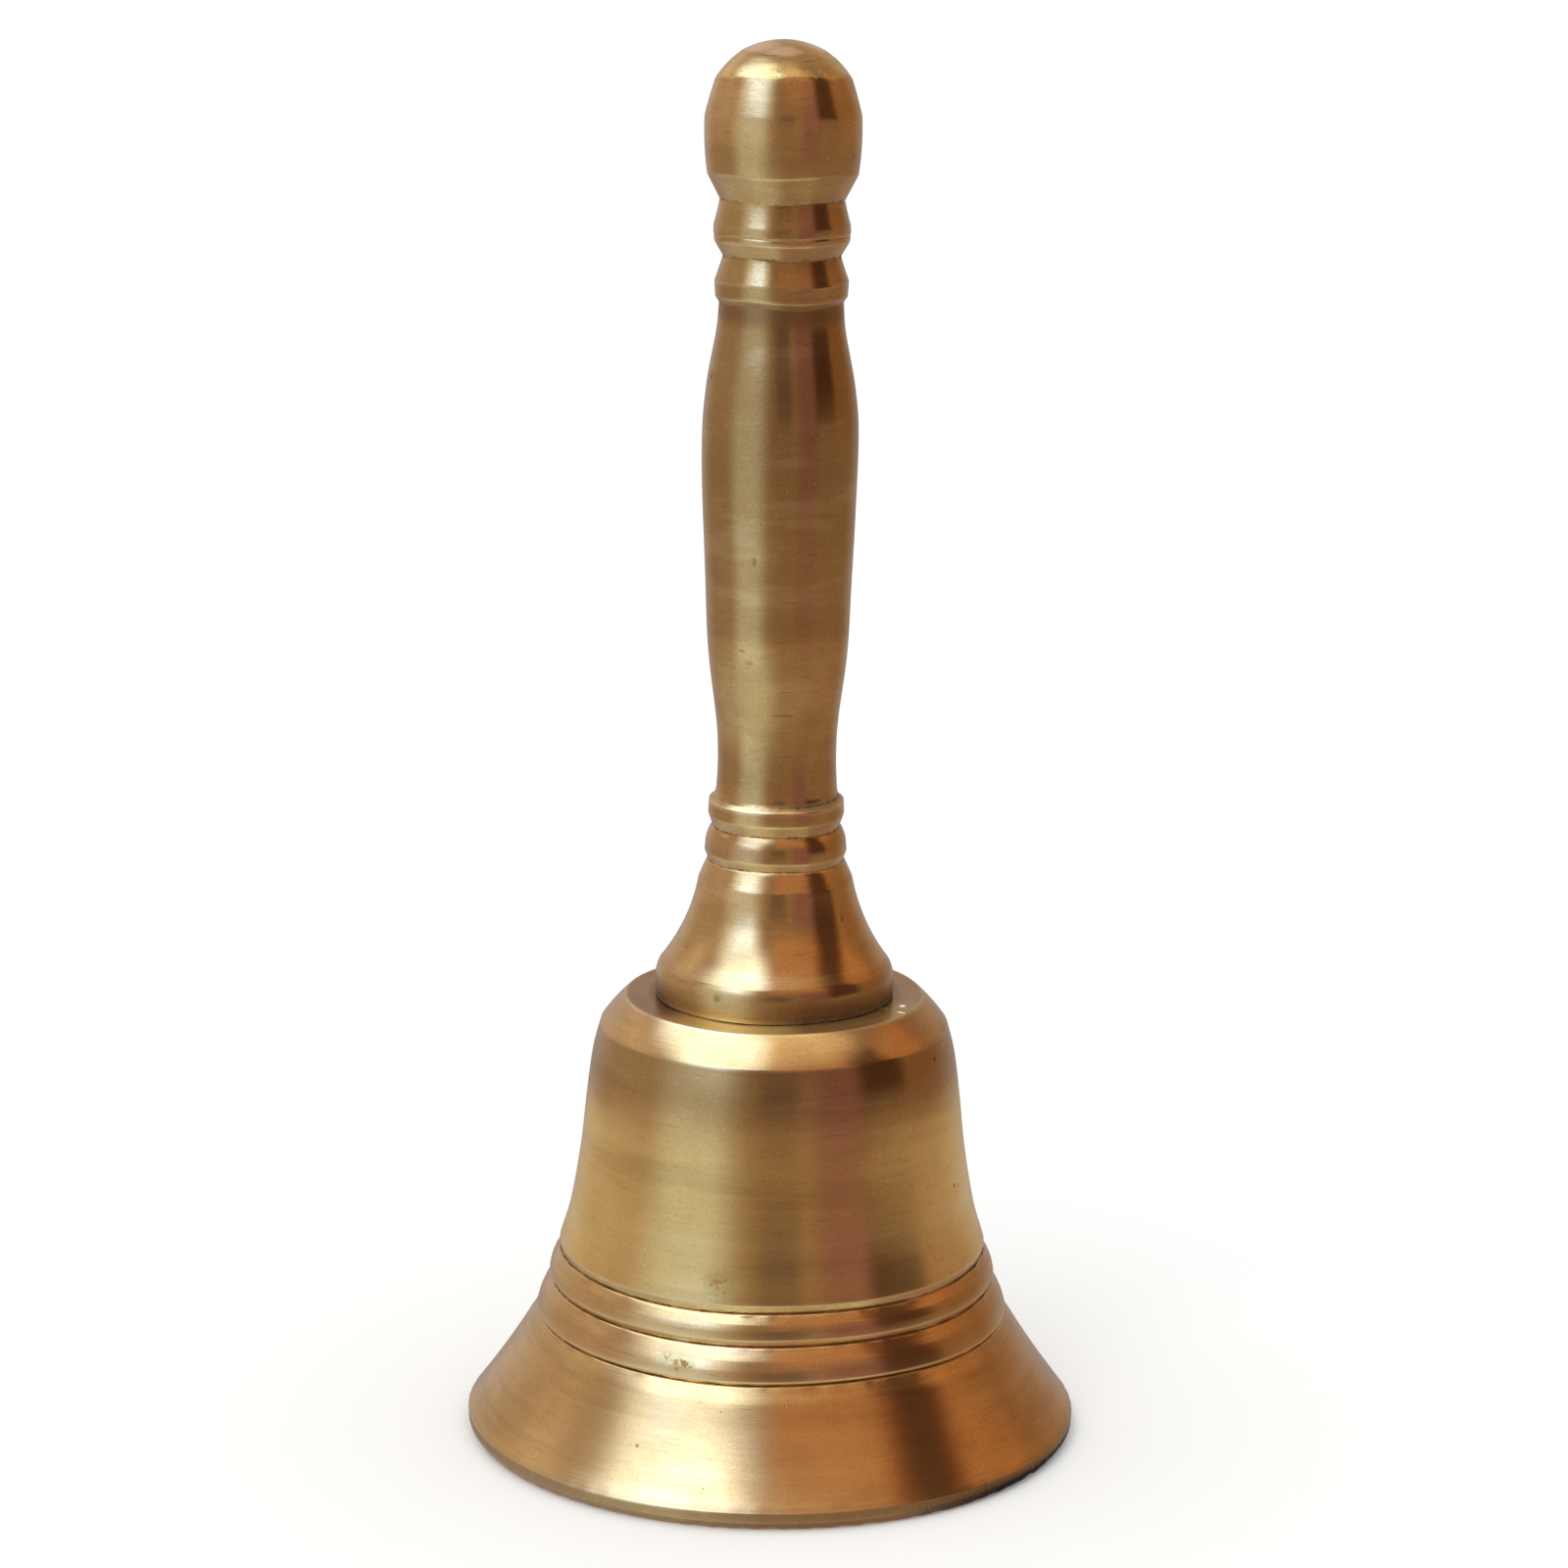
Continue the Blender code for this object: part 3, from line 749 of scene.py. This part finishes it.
def turned_brass(name, look):
    """Lathe-turned solid brass: fine lines round it, tarnish, bright edges, and dirt in the grooves."""
    material, tree, shader = new_material(name)
    skin = brass_skin(tree, look)
    add_small_marks(tree, look, skin)
    add_scars(tree, skin)
    add_wear(tree, look, skin)
    colour = noise_layers(tree, look["bright"], look, skin, METAL_LAYERS)
    colour = cover_layers(tree, colour, look, skin, BAND_COVERS)
    colour = noise_layers(tree, colour, look, skin, SPECK_LAYERS)
    colour = cover_layers(tree, colour, look, skin, WEAR_COVERS)

    def total(start, weights):
        return weighted(tree, start, *((skin[part], weight) for part, weight in weights))

    spread = look["rough_spread"]
    rough = total(look["rough"] - spread / 2 - ROUGH_MIDDLE, (("patches", spread), *ROUGH_WEIGHTS))
    set_inputs(tree, shader, {
        "Base Color": colour, "Roughness": rough,
        "Metallic": maths(tree, "MAXIMUM", total(1.0, METAL_WEIGHTS), 0.0),
        "Normal": bumped(tree, total(skin["fine"], HEIGHT_WEIGHTS), look["bump"]),
        "Anisotropic": look["anisotropic"], "Anisotropic Rotation": 0.25,
        "Tangent": put(tree, "Tangent", direction_type="RADIAL", axis="Z").outputs[0],
        "Specular IOR Level": 0.15,
    })
    return material


# ---- cast brass and steel


# Light and dark colour, roughness, bump in millimetres and how fine the grain is
CAST_LOOKS = {
    "cup_inside_brass": ((0.56, 0.36, 0.15), (0.33, 0.205, 0.09), 0.5, 0.02, 1.0),
    "fixing_brass": ((0.60, 0.40, 0.17), (0.36, 0.235, 0.11), 0.42, 0.008, 3.0),
    "clapper_brass": ((0.70, 0.46, 0.19), (0.45, 0.29, 0.125), 0.36, 0.01, 1.6),
}
CAST_GRAIN = (0.10, 0.06, 0.03)
CAST_DIRT = (0.06, 0.04, 0.022)
CAST_EDGE = (0.85, 0.62, 0.30)
STEEL_LIGHT = (0.50, 0.49, 0.47)
STEEL_DARK = (0.34, 0.33, 0.31)
STEEL_RUST = (0.17, 0.085, 0.045)


def cast_brass(name):
    """Brass left as cast or lightly turned: matt, mottled and a little pitted."""
    light, dark, rough, bump, scale = CAST_LOOKS[name]
    material, tree, shader = new_material(name)
    place, around, along = lathe_space(tree)
    mottle = noise(tree, place, 0.35 * scale, 4.0, 0.6)
    grain = noise(tree, place, 2.4 * scale, 3.0, 0.65)
    rings = lines(tree, around, along, 2.0, 1.1, 3.0, 0.6)
    hollow = mark(tree, "hollow")
    dirt = ramp(tree, hollow, 0.1, 0.7, 0.8)
    colour = mix(tree, ramp(tree, mottle, 0.38, 0.66), light, dark)
    colour = mix(tree, ramp(tree, grain, 0.58, 0.72, 0.6), colour, CAST_GRAIN)
    colour = mix(tree, dirt, colour, CAST_DIRT)
    colour = mix(tree, ramp(tree, hollow, -0.2, -0.8, 0.5), colour, CAST_EDGE)
    set_inputs(tree, shader, {
        "Base Color": colour,
        "Roughness": weighted(tree, rough - 0.12, (mottle, 0.25)),
        "Metallic": weighted(tree, 1.0, (dirt, -0.5)),
        "Normal": bumped(tree, weighted(tree, rings, (grain, 0.7)), bump),
    })
    return material


def steel_wire():
    """Drawn steel wire, dulled and finely grained, with a few brown spots."""
    material, tree, shader = new_material("steel_wire")
    place = place_in_mm(tree)
    spots = noise(tree, place, 1.1, 4.0, 0.65)
    grain = noise(tree, place, 7.0, 3.0, 0.6)
    rust = ramp(tree, spots, 0.58, 0.72)
    colour = mix(tree, ramp(tree, grain, 0.3, 0.7), STEEL_LIGHT, STEEL_DARK)
    set_inputs(tree, shader, {
        "Base Color": mix(tree, product(tree, rust, 0.8), colour, STEEL_RUST),
        "Roughness": weighted(tree, 0.26, (grain, 0.2), (rust, 0.3)),
        "Metallic": weighted(tree, 1.0, (rust, -0.6)),
        "Normal": bumped(tree, maths(tree, "ADD", spots, grain), 0.02),
    })
    return material


# ---- cup


# Places: degrees from the front towards +X, height and radius, then half-sizes across and up
CUP_SCARS = (
    ((-14, 22.9, 22.4), (1.6, 1.1)), ((-22, 14.6, 25.0), (1.4, 0.8)), ((-26, 15.0, 25.0), (0.9, 0.6)),
    ((79, 16.4, 24.3), (1.8, 1.6)), ((64, 48.4, 14.5), (0.7, 0.4)), ((150, 27.0, 21.5), (1.3, 0.9)),
    ((-118, 15.3, 24.8), (1.4, 0.7)), ((205, 8.0, 28.7), (1.1, 0.8)),
)
# The same on the flat crown, where a radius takes the height's place
CHIPS = (
    ((65, 13.5, 13.5), (0.5, 0.28)), ((62, 15.3, 15.3), (0.28, 0.5)), ((71, 14.4, 14.4), (0.5, 0.16)),
)


def cup_outside():
    outline = [(LIP_FACE_RADIUS, 0), LIP_SIDE, (LIP_RADIUS, LIP_EDGE_HEIGHT)]
    outline += arc(outline[-1], FLARE_TOP, -FLARE_HOLLOW)[1:]
    outline += [*FIRST_GROOVE, *LOWER_BAND, *UPPER_BAND]
    outline += smooth_curve(BODY_CURVE)
    return outline + arc(BODY_CURVE[-1], (CROWN_RADIUS, CROWN_HEIGHT), SHOULDER_BULGE)[1:]


def cup_inside():
    outline = [(CROWN_HOLE_RADIUS, CROWN_HEIGHT), (CROWN_HOLE_RADIUS, CEILING[1])]
    corner = (CEILING[0] + CEILING_ROUND, CEILING[1] - CEILING_ROUND)
    outline += arc(CEILING, corner, -CEILING_ROUND * (1 - cos(pi / 4)))
    return outline + smooth_curve(INNER_CURVE)


def cup_shape(radius, height, angle):
    """Hand finishing: wandering edges, a wall that isn't quite round and a ragged lip."""
    wander = waves(count=5, cycles=7, seed=11)
    out_of_round = waves(count=6, cycles=6, seed=12)
    rag = waves(count=26, cycles=90, seed=13)
    silt = waves(count=24, cycles=70, seed=14)
    outer = radius > OUTSIDE_FROM
    upper = rise(height, 0, 4)
    height = height + CUP_WANDER * upper * wander(angle, height * 0.6)
    radius = radius + CUP_OUT_OF_ROUND * upper * out_of_round(angle, height)
    radius = dented(radius, angle, height, CUP_SCARS, CUP_SCAR_DEPTH * outer)
    for floor_radius, level in GROOVE_FLOORS:
        filled = hump(height, level, SILT_REACH) * (np.abs(radius - floor_radius) < 0.6)
        radius = radius + SILT_DEPTH * filled * np.clip(silt(angle, level) + 0.2, 0, 1.1)
    ragged = LIP_RAG * (1 + np.clip(rag(angle, 0), -1.0, 2.2))
    height = height + rise(height, LIP_RAG_REACH, 0) * ragged
    lip = hump(height, LIP_EDGE_HEIGHT, 0.5) * (radius > LIP_RADIUS - 1.5)
    radius = radius - LIP_NICKS * lip * np.clip(rag(angle, 3), 0, 2)
    return radius, np.maximum(height, 0)


def mark_cup(marks, radius, angle, height):
    """Soot on the crown and rim, a painted highlight on the crown's front left and a lighter patch at its
    front right, painted shade on the rim's right side, dull and golden bands, scars and chips.
    """
    top = height > CROWN_HEIGHT - 0.5
    edge = radius > LIP_FACE_RADIUS - 1.0
    crown = rise(radius, CROWN_RADIUS + 0.2, CROWN_RADIUS - 0.2) * top
    joint = rise(radius, 13.9, 12.9) * crown
    rim = rise(height, 2.2, 1.7) * edge
    lower_edge = rise(height, 1.3, 1.0) * edge
    # A patch on the crown's front left, kept clear of soot and made golden: a painted highlight.
    painted_highlight = facing_side(angle, -20, 6, 5)
    # A patch towards the crown's front right, with less soot and more golden colour.
    lighter_front_right = facing_side(angle, 30, 2.5, 1.5)
    shaded = facing_side(angle, 62, 5, 3.9)
    marks["scar"] = nearest(angle, height, CUP_SCARS)
    # Soot on the crown and at the joint with the handle's foot, taken away where the crown's highlight is
    # painted.
    marks["soot_and_shade"] = (0.25 * crown + 0.5 * joint) * (1 - 0.8 * painted_highlight) * (1 - 0.7 * lighter_front_right)
    # Brown film on the rim, painted darker as shade on the side away from the light.
    marks["soot_and_shade"] += rim * (0.6 + 0.3 * shaded)
    # Painted contact shadow: the rim's lower edge is made near black on the side away from the light.
    marks["painted_shade"] = lower_edge * shaded
    marks["dull"] = by_height(height, CUP_DULL)
    # Golden bands on the body. On the crown, the painted highlight at the front left and the lighter patch
    # at the front right.
    marks["bloom_and_highlight"] = by_height(height, CUP_BLOOM) + crown * (1.5 * painted_highlight + 0.5 * lighter_front_right)
    marks["chip"] = nearest(angle, radius, CHIPS) * top


def around_axis(points):
    """The points' radii, angles and heights."""
    x, y, z = points.T
    return np.hypot(x, y), np.arctan2(y, x), z


def bell_cup():
    outside, inside = cup_outside(), cup_inside()
    points, faces, marks = lathe(outside + inside, True, cup_shape, *CUP_MESH)
    mark_cup(marks, *around_axis(points))
    brass = turned_brass("cup_outside_brass", CUP_LOOK)
    cup = new_piece("bell_cup_turned", (points, faces, marks), "bell", "bell_cup", brass)
    cup.data.materials.append(cast_brass("cup_inside_brass"))
    start, end = distances(outside + inside[:1])[-1], distances(outside + inside)[-1]
    furthest = marks["along"][np.array(faces)].max(1)
    inner = (furthest > start) & (furthest < end)
    cup.data.polygons.foreach_set("material_index", inner.astype(np.int32))


# ---- handle


# Places as for the cup
BLUSHES = (
    ((-2, 149.1, 3.5), (1.7, 0.45)), ((-60, 149.4, 3.0), (3.0, 0.5)), ((100, 149.3, 3.0), (2.0, 0.5)),
)
HANDLE_SCARS = (
    ((-5.5, 147.1, 5.9), (1.0, 0.5)), ((29.5, 147.1, 5.9), (1.4, 0.5)), ((72, 146.0, 7.0), (0.8, 0.6)),
    ((-18.5, 96.8, 7.8), (0.3, 0.5)), ((51.5, 58.2, 9.0), (0.25, 0.35)), ((-28.5, 50.9, 12.7), (0.4, 0.4)),
    ((160, 146.6, 6.2), (1.2, 0.5)), ((-140, 101.0, 8.0), (0.4, 0.5)),
)


def handle_outline():
    rim, low = FOOT_EDGE[0], FOOT_HEIGHT - FOOT_SKIRT
    outline = [*BORE, (rim - 0.7, FOOT_HEIGHT), (rim - 0.35, low), (rim - 0.02, low), FOOT_EDGE]
    outline += arc(FOOT_EDGE, CONE_BASE, FOOT_BULGE)[1:]
    outline += arc(CONE_BASE, CONE_TOP, -CONE_HOLLOW, steps=24)[1:]
    outline += [CONE_STEP, LOWER_GROOVE, LOWER_BEAD_EDGE, LOWER_BEAD]
    outline += arc(LOWER_BEAD, COLLAR_GROOVE, LOWER_BEAD_BULGE)[1:]
    outline += [COLLAR_EDGE, COLLAR_TOP, COLLAR_LEDGE]
    outline += reversed(smooth_curve(GRIP_CURVE))
    outline += [SECOND_BEAD_EDGE, SECOND_BEAD]
    outline += arc(SECOND_BEAD, UPPER_GROOVE, -BEAD_HOLLOW)[1:]
    outline += [UPPER_BEAD_EDGE, *UPPER_BEAD_LINE, UPPER_BEAD]
    outline += arc(UPPER_BEAD, KNOB_GROOVE, -BEAD_HOLLOW)[1:]
    outline += arc(KNOB_CORNER, KNOB_BEND, KNOB_BULGE)
    outline += arc(KNOB_BEND, DOME_EDGE, KNOB_TOP_BULGE, steps=10)[1:]
    outline += arc(DOME_EDGE, DOME_CAP, DOME_SIDE_BULGE, steps=14)[1:]
    return outline + arc(DOME_CAP, (0, HANDLE_TOP), DOME_BULGE)[1:]


def handle_shape(radius, height, angle):
    """Hand turning: rings that wander, and a knob whose rings lean back."""
    wander = waves(count=5, cycles=5, seed=21)
    out_of_round = waves(count=6, cycles=5, seed=22)
    outer = radius > HANDLE_OUTSIDE_FROM
    free = rise(height, 149, 146) * rise(height, FOOT_HEIGHT + 0.5, FOOT_HEIGHT + 2.5)
    height = height + HANDLE_WANDER * outer * wander(angle, height * 0.8) * free
    height = height + by_height(height, KNOB_LEAN) * np.cos(angle + pi / 2)
    radius = radius + HANDLE_OUT_OF_ROUND * outer * out_of_round(angle, height)
    return dented(radius, angle, height, HANDLE_SCARS, HANDLE_SCAR_DEPTH * outer), height


def mark_handle(marks, radius, angle, height):
    """Soot at the foot, thinned on the side facing the light; painted shade under the second bead, on the
    collar ledge's right and low on the foot; a painted highlight on the dome; and the dome's blush and
    scars.
    """
    foot = rise(height, FOOT_HEIGHT + 2.4, FOOT_HEIGHT + 0.8)
    # A band just under the second bead, darkened all round: painted shade under its overhang.
    under_beads = rise(np.abs(height - GRIP_CURVE[0][1] + 0.7), 1.65, 0.55)
    ledge = rise(np.abs(height - COLLAR_LEDGE[1] - 0.12), 0.3, 0.1) * (radius > HANDLE_OUTSIDE_FROM)
    right = facing_side(angle, 50, 1.6, 0.5)
    # The side facing the light, which is kept lighter than the rest.
    left = facing_side(angle, -27, 4, 3)
    marks["scar"] = nearest(angle, height, HANDLE_SCARS)
    marks["blush"] = nearest(angle, height, BLUSHES)
    # Soot low on the foot, thinned on the side facing the light so that the rest reads as painted shade.
    marks["soot_and_shade"] = 0.9 * foot * (1 - 0.85 * left) + 0.75 * under_beads
    # Painted shade on the collar ledge, on the right side away from the light.
    marks["painted_shade"] = 0.6 * ledge * right
    # Painted shade low on the foot, everywhere except the side facing the light.
    marks["painted_shade"] += 0.45 * rise(height, FOOT_HEIGHT + 0.95, FOOT_HEIGHT + 0.45) * (1 - left)
    # Painted highlight: the dome above its edge is made golden and less metallic.
    marks["bloom_and_highlight"] = 0.6 * rise(height, 146.3, 146.7)
    # Dull bands by height. On the foot they are thinned on the side facing the light, which is painted
    # light.
    marks["dull"] = by_height(height, HANDLE_DULL) * (1 - 0.7 * left * (height < CONE_BASE[1]))


def handle():
    points, faces, marks = lathe(handle_outline(), False, handle_shape, *HANDLE_MESH)
    mark_handle(marks, *around_axis(points))
    brass = turned_brass("handle_brass", HANDLE_LOOK)
    new_piece("handle_turned", (points, faces, marks), "bell", "handle", brass)


# ---- fixings


def nut(name, low, high, bore, body, node, material):
    """A hexagon nut with chamfered corners and a threaded bore. The box gives its width across corners."""
    corner, base, top = high.x, low.z, high.z
    flats = corner * cos(pi / 6)
    cut = (corner - flats) * NUT_CHAMFER
    across, down = NUT_LEAD_IN
    outline = [
        (bore, base + down), (bore + across, base), (flats - NUT_LAND, base), (corner, base + cut),
        (corner, top - cut), (flats - NUT_LAND, top), (bore + across, top), (bore, top - down),
    ]

    def shape(radius, height, angle):
        sector = (angle + pi / 6) % (pi / 3) - pi / 6
        flat = flats / np.cos(pi / 6 - np.abs(sector))
        threaded = radius + NUT_THREAD * thread(height, NUT_PITCH, angle)
        return np.where(radius < bore + 0.12, threaded, np.minimum(radius, flat)), height

    new_piece(name, lathe(outline, True, shape, *NUT_MESH), body, node, material, 40)


def washer(material):
    """A stamped washer, a little out of flat."""
    rim, base, top = WASHER_HIGH.x, WASHER_LOW.z, WASHER_HIGH.z
    across, down = WASHER_ROUND
    outline = [(WASHER_BORE, top), (rim - across, top), (rim, top - down), (rim, base), (WASHER_BORE, base)]
    warp = waves(count=3, cycles=3, seed=31)

    def shape(radius, height, angle):
        return radius, height + WASHER_WARP * (warp(angle, 0) - 1) * (radius / rim) ** 2

    made = lathe(outline, True, shape, *WASHER_MESH)
    new_piece("crown_washer_stamped", made, "bell", "crown_washer", material, 40)


def unite(obj, cutter):
    """Joins another object's mesh into an object's, and deletes the other."""
    boolean = obj.modifiers.new("Join", "BOOLEAN")
    boolean.operation = "UNION"
    boolean.object = cutter
    bpy.context.view_layer.update()
    joined = bpy.data.meshes.new_from_object(obj.evaluated_get(bpy.context.evaluated_depsgraph_get()))
    obj.modifiers.clear()
    obj.data = joined
    bpy.data.objects.remove(cutter)
    joined.shade_smooth()
    joined.set_sharp_from_angle(angle=radians(50))


def eyebolt(material):
    """A threaded stud with a ring eye. The ring is joined to the stud's end."""
    neck, top = EYE_HEIGHT + EYE_RADIUS, BOLT_HIGH.z
    shoulder, root = neck + EYE_WIRE, SHANK_RADIUS - THREAD_DEPTH
    outline = [
        (0, neck), (EYE_WIRE, neck), (root, shoulder + 0.2), (SHANK_RADIUS, shoulder + SHANK_CHAMFER),
        (SHANK_RADIUS, top - SHANK_CHAMFER), (SHANK_RADIUS - SHANK_CHAMFER, top), (0, top),
    ]

    def shape(radius, height, angle):
        ridge = np.abs(2 * thread(height, THREAD_PITCH, angle) - 1)
        return radius - THREAD_DEPTH * ridge * (radius > root), height

    stud = lathe(outline, False, shape, *STUD_MESH)
    bolt = new_piece("clapper_eyebolt_threaded", stud, "bell", "clapper_eyebolt", material)
    path = upright(circle_path(EYE_RADIUS, EYE_HEIGHT, 0, tau, 96)[:-1])
    unite(bolt, new_object("eye_ring", new_mesh("eye_ring", *tube(path, EYE_WIRE, True, 28))))


def link(material):
    """A wire ring in the YZ plane, closed but for a fine seam."""
    start = pi / 2 + LINK_SEAM / 2
    path = upright(circle_path(LINK_RADIUS, LINK_HEIGHT, start, start + tau - LINK_SEAM, 110))
    points, faces, marks = tube(path, rounded_ends(path, LINK_WIRE, LINK_END), False, 28)
    turned = np.stack([-points[:, 1], points[:, 0], points[:, 2]], 1)
    made = (turned, faces, marks)
    new_piece("clapper_link_wire", made, "link", "clapper_link", material, 60)


def rod(material):
    """A wire rod, threaded below and bent above into a loop round the ring."""
    start, end = ((x, LOOP_HEIGHT - LOOP_RADIUS + drop) for x, drop in ROD_BEND)
    path = [(0, ROD_LOW.z)] + arc(start, end, ROD_BEND_BULGE, steps=8)
    path += circle_path(LOOP_RADIUS, LOOP_HEIGHT, *LOOP_ENDS, 72)
    path = blur(resample(upright(path), ROD_STEP), ROD_EASE, False)

    def ripple(distance, spin):
        ridge = np.abs(2 * thread(distance, ROD_PITCH, spin) - 1)
        return 1 - ROD_THREAD * ridge * rise(distance, ROD_THREAD_TOP, ROD_THREAD_TOP - 0.3)

    made = tube(path, rounded_ends(path, ROD_WIRE, ROD_END), False, 32, ripple)
    new_piece("clapper_rod_wire", made, "clapper", "clapper_rod", material, 60)


def ball(material):
    """A bored ball, dented a little, and flatter on the two sides that strike the cup."""
    centre = (BALL_LOW.z + BALL_HIGH.z) / 2
    reach = sqrt(BALL_RADIUS**2 - BALL_BORE**2)
    start, end = (BALL_BORE, centre - reach), (BALL_BORE, centre + reach)
    struck = [((azimuth, centre, BALL_RADIUS), (1.6, 1.6)) for azimuth in (90, -90)]
    dents = waves(count=8, cycles=7, seed=41)

    def shape(radius, height, angle):
        outer = radius > BALL_BORE + 0.3
        dent = np.clip(BALL_DENTS * dents(angle, height * 3), -BALL_DENTS_MOST, BALL_DENTS_MOST)
        radius = radius - outer * (BALL_DENTS_MOST + dent)
        return dented(radius, angle, height, struck, BALL_STRUCK * outer), height

    made = lathe(arc(start, end, BALL_RADIUS - BALL_BORE, steps=60), True, shape, *BALL_MESH)
    new_piece("clapper_ball_turned", made, "clapper", "clapper_ball", material)


# ---- studio


# Soft panels round the bell, as seen in the brass: azimuth from the front towards +X, half-width and
# softness, then lowest and highest elevation and softness, in degrees, and the light added.
PANELS = (
    ("table", 0, 180, 1, -90, -26, 15, (0.03, 0.04, 0.08)),
    ("table_near", 0, 62, 30, -50, -32, 11, (0.26, 0.36, 0.30)),
    ("table_left", -71, 62, 43, -81, -18, 14, (0.19, 0.30, 0.38)),
    ("back", 181, 46, 32, -62, 34, 20, (0.07, 0.11, 0.15)),
    ("left_fill", -119, 47, 27, -11, 33, 15, (0.15, 0.16, 0.18)),
    ("left_high", -125, 28, 20, 20, 43, 12, (0.15, 0.16, 0.16)),
    ("left_front", -49, 23, 29, -22, 31, 13, (0.31, 0.48, 0.68)),
    ("window_low", -45, 14, 13, 20, 34, 14, (0.42, 0.86, 2.43)),
    ("window_middle", -48, 25, 20, 22, 46, 11, (0.60, 0.85, 1.35)),
    ("window_high", -72, 58, 34, 42, 78, 17, (1.45, 2.05, 3.3)),
    ("right_top", 38, 54, 23, 55, 86, 15, (0.47, 0.44, 0.39)),
    ("overhead", 0, 180, 1, 74, 95, 16, (0.25, 0.26, 0.24)),
    ("orange_high", 31, 32, 12, 26, 52, 10, (0.17, 0.05, 0.0)),
    ("purple", 42, 15, 16, -14, 23, 12, (-0.05, -0.08, -0.012)),
    ("dark_front", 4, 12, 12, -2, 18, 11, (-0.15, -0.10, -0.05)),
    ("flag", 73, 17, 13, -2, 48, 9, (-0.23, -0.18, -0.145)),
    ("orange_right", 104, 17, 12, 20, 44, 12, (0.17, 0.07, 0.03)),
    ("right", 122, 32, 22, -6, 44, 16, (-0.02, -0.06, -0.08)),
)
DIM_SIDE = (0.317, 0.224, 0.178)
LEAST_LIGHT = (0.02, 0.02, 0.02)
FLOOR_LIGHT = (1.0, 0.995, 0.985)


def panel_light(tree, azimuth, elevation, angles):
    """How much of one panel a direction sees, from 0 to 1."""
    centre, half, soft, low, high, soft_up = (radians(angle) for angle in angles)
    above = ramp(tree, elevation, low - soft_up / 2, low + soft_up / 2)
    below = ramp(tree, elevation, high + soft_up / 2, high - soft_up / 2)
    share = product(tree, above, below)
    if half >= pi:
        return share
    turned = maths(tree, "WRAP", maths(tree, "SUBTRACT", azimuth, centre), pi, -pi)
    off = maths(tree, "ABSOLUTE", turned)
    return product(tree, ramp(tree, off, half + soft / 2, half - soft / 2), share)


def world():
    """What the brass reflects: soft panels. The floor and the eye see a plain pale studio."""
    made = bpy.data.worlds.new("studio")
    bpy.context.scene.world = made
    made.use_nodes = True
    made.cycles.sampling_method = "NONE"
    tree = made.node_tree
    x, y, z = put(tree, "SeparateXYZ", {0: put(tree, "TexCoord").outputs["Generated"]}).outputs
    azimuth = maths(tree, "ARCTAN2", x, product(tree, y, -1.0))
    elevation = maths(tree, "ARCSINE", z)
    total = put(tree, "CombineXYZ", dict(enumerate(DIM_SIDE))).outputs[0]
    for _, *angles, light in PANELS:
        share = panel_light(tree, azimuth, elevation, angles)
        total = vector_maths(tree, "ADD", total, scaled(tree, light, share))
    total = vector_maths(tree, "MAXIMUM", total, LEAST_LIGHT)
    seen = mix(tree, put(tree, "LightPath").outputs["Is Glossy Ray"], FLOOR_LIGHT, total)
    tree.links.new(seen, tree.nodes["Background"].inputs["Color"])


def floor():
    """A plain pale floor. Its underside is clear, so that the bell's mouth can be seen from below."""
    mesh = bpy.data.meshes.new("floor")
    sides = ((-1, -1), (1, -1), (1, 1), (-1, 1))
    corners = [(x * FLOOR_HALF, y * FLOOR_HALF, -FLOOR_DEPTH) for x, y in sides]
    mesh.from_pydata(corners, [], [(0, 1, 2, 3)])
    obj = new_object("floor", mesh)
    material, tree, shader = new_material("pale_floor")
    place = put(tree, "TexCoord").outputs["Object"]
    colour = mix(tree, noise(tree, place, 9.0, 3.0, 0.5), (0.93, 0.93, 0.925), (0.95, 0.95, 0.945))
    set_inputs(tree, shader, {"Base Color": colour, "Roughness": 0.8, "Specular IOR Level": 0.0})
    clear = put(tree, "BsdfTransparent").outputs[0]
    behind = put(tree, "NewGeometry").outputs["Backfacing"]
    both = put(tree, "MixShader", {0: behind, 1: shader.outputs[0], 2: clear}).outputs[0]
    tree.links.new(both, tree.nodes["Material Output"].inputs["Surface"])
    mesh.materials.append(material)
    obj.visible_glossy = False


def key_light():
    data = bpy.data.lights.new("key", "SUN")
    data.energy = KEY_ENERGY
    data.angle = KEY_ANGLE
    obj = new_object("key", data)
    obj.rotation_euler = KEY_TURN
    obj.visible_glossy = False


def camera():
    data = bpy.data.cameras.new("camera")
    data.lens = CAMERA_LENS
    data.sensor_width = CAMERA_SENSOR
    obj = new_object("camera", data)
    yaw, pitch, roll = (Matrix.Rotation(radians(turn), 4, axis) for axis, turn in CAMERA_TURN)
    obj.matrix_world = Matrix.Translation(CAMERA_PLACE) @ yaw @ pitch @ roll
    bpy.context.scene.camera = obj


def main():
    dull = cast_brass("fixing_brass")
    steel = steel_wire()
    bell_cup()
    handle()
    eyebolt(dull)
    washer(dull)
    nut("crown_nut_hexagon", NUT_LOW, NUT_HIGH, NUT_BORE, "bell", "crown_nut", dull)
    link(steel)
    rod(steel)
    ball(cast_brass("clapper_brass"))
    nut("clapper_locknut_hexagon", LOCKNUT_LOW, LOCKNUT_HIGH, LOCKNUT_BORE, "clapper", "clapper_locknut",
        dull)
    world()
    floor()
    key_light()
    camera()
    bpy.context.scene.view_settings.view_transform = "Standard"


main()
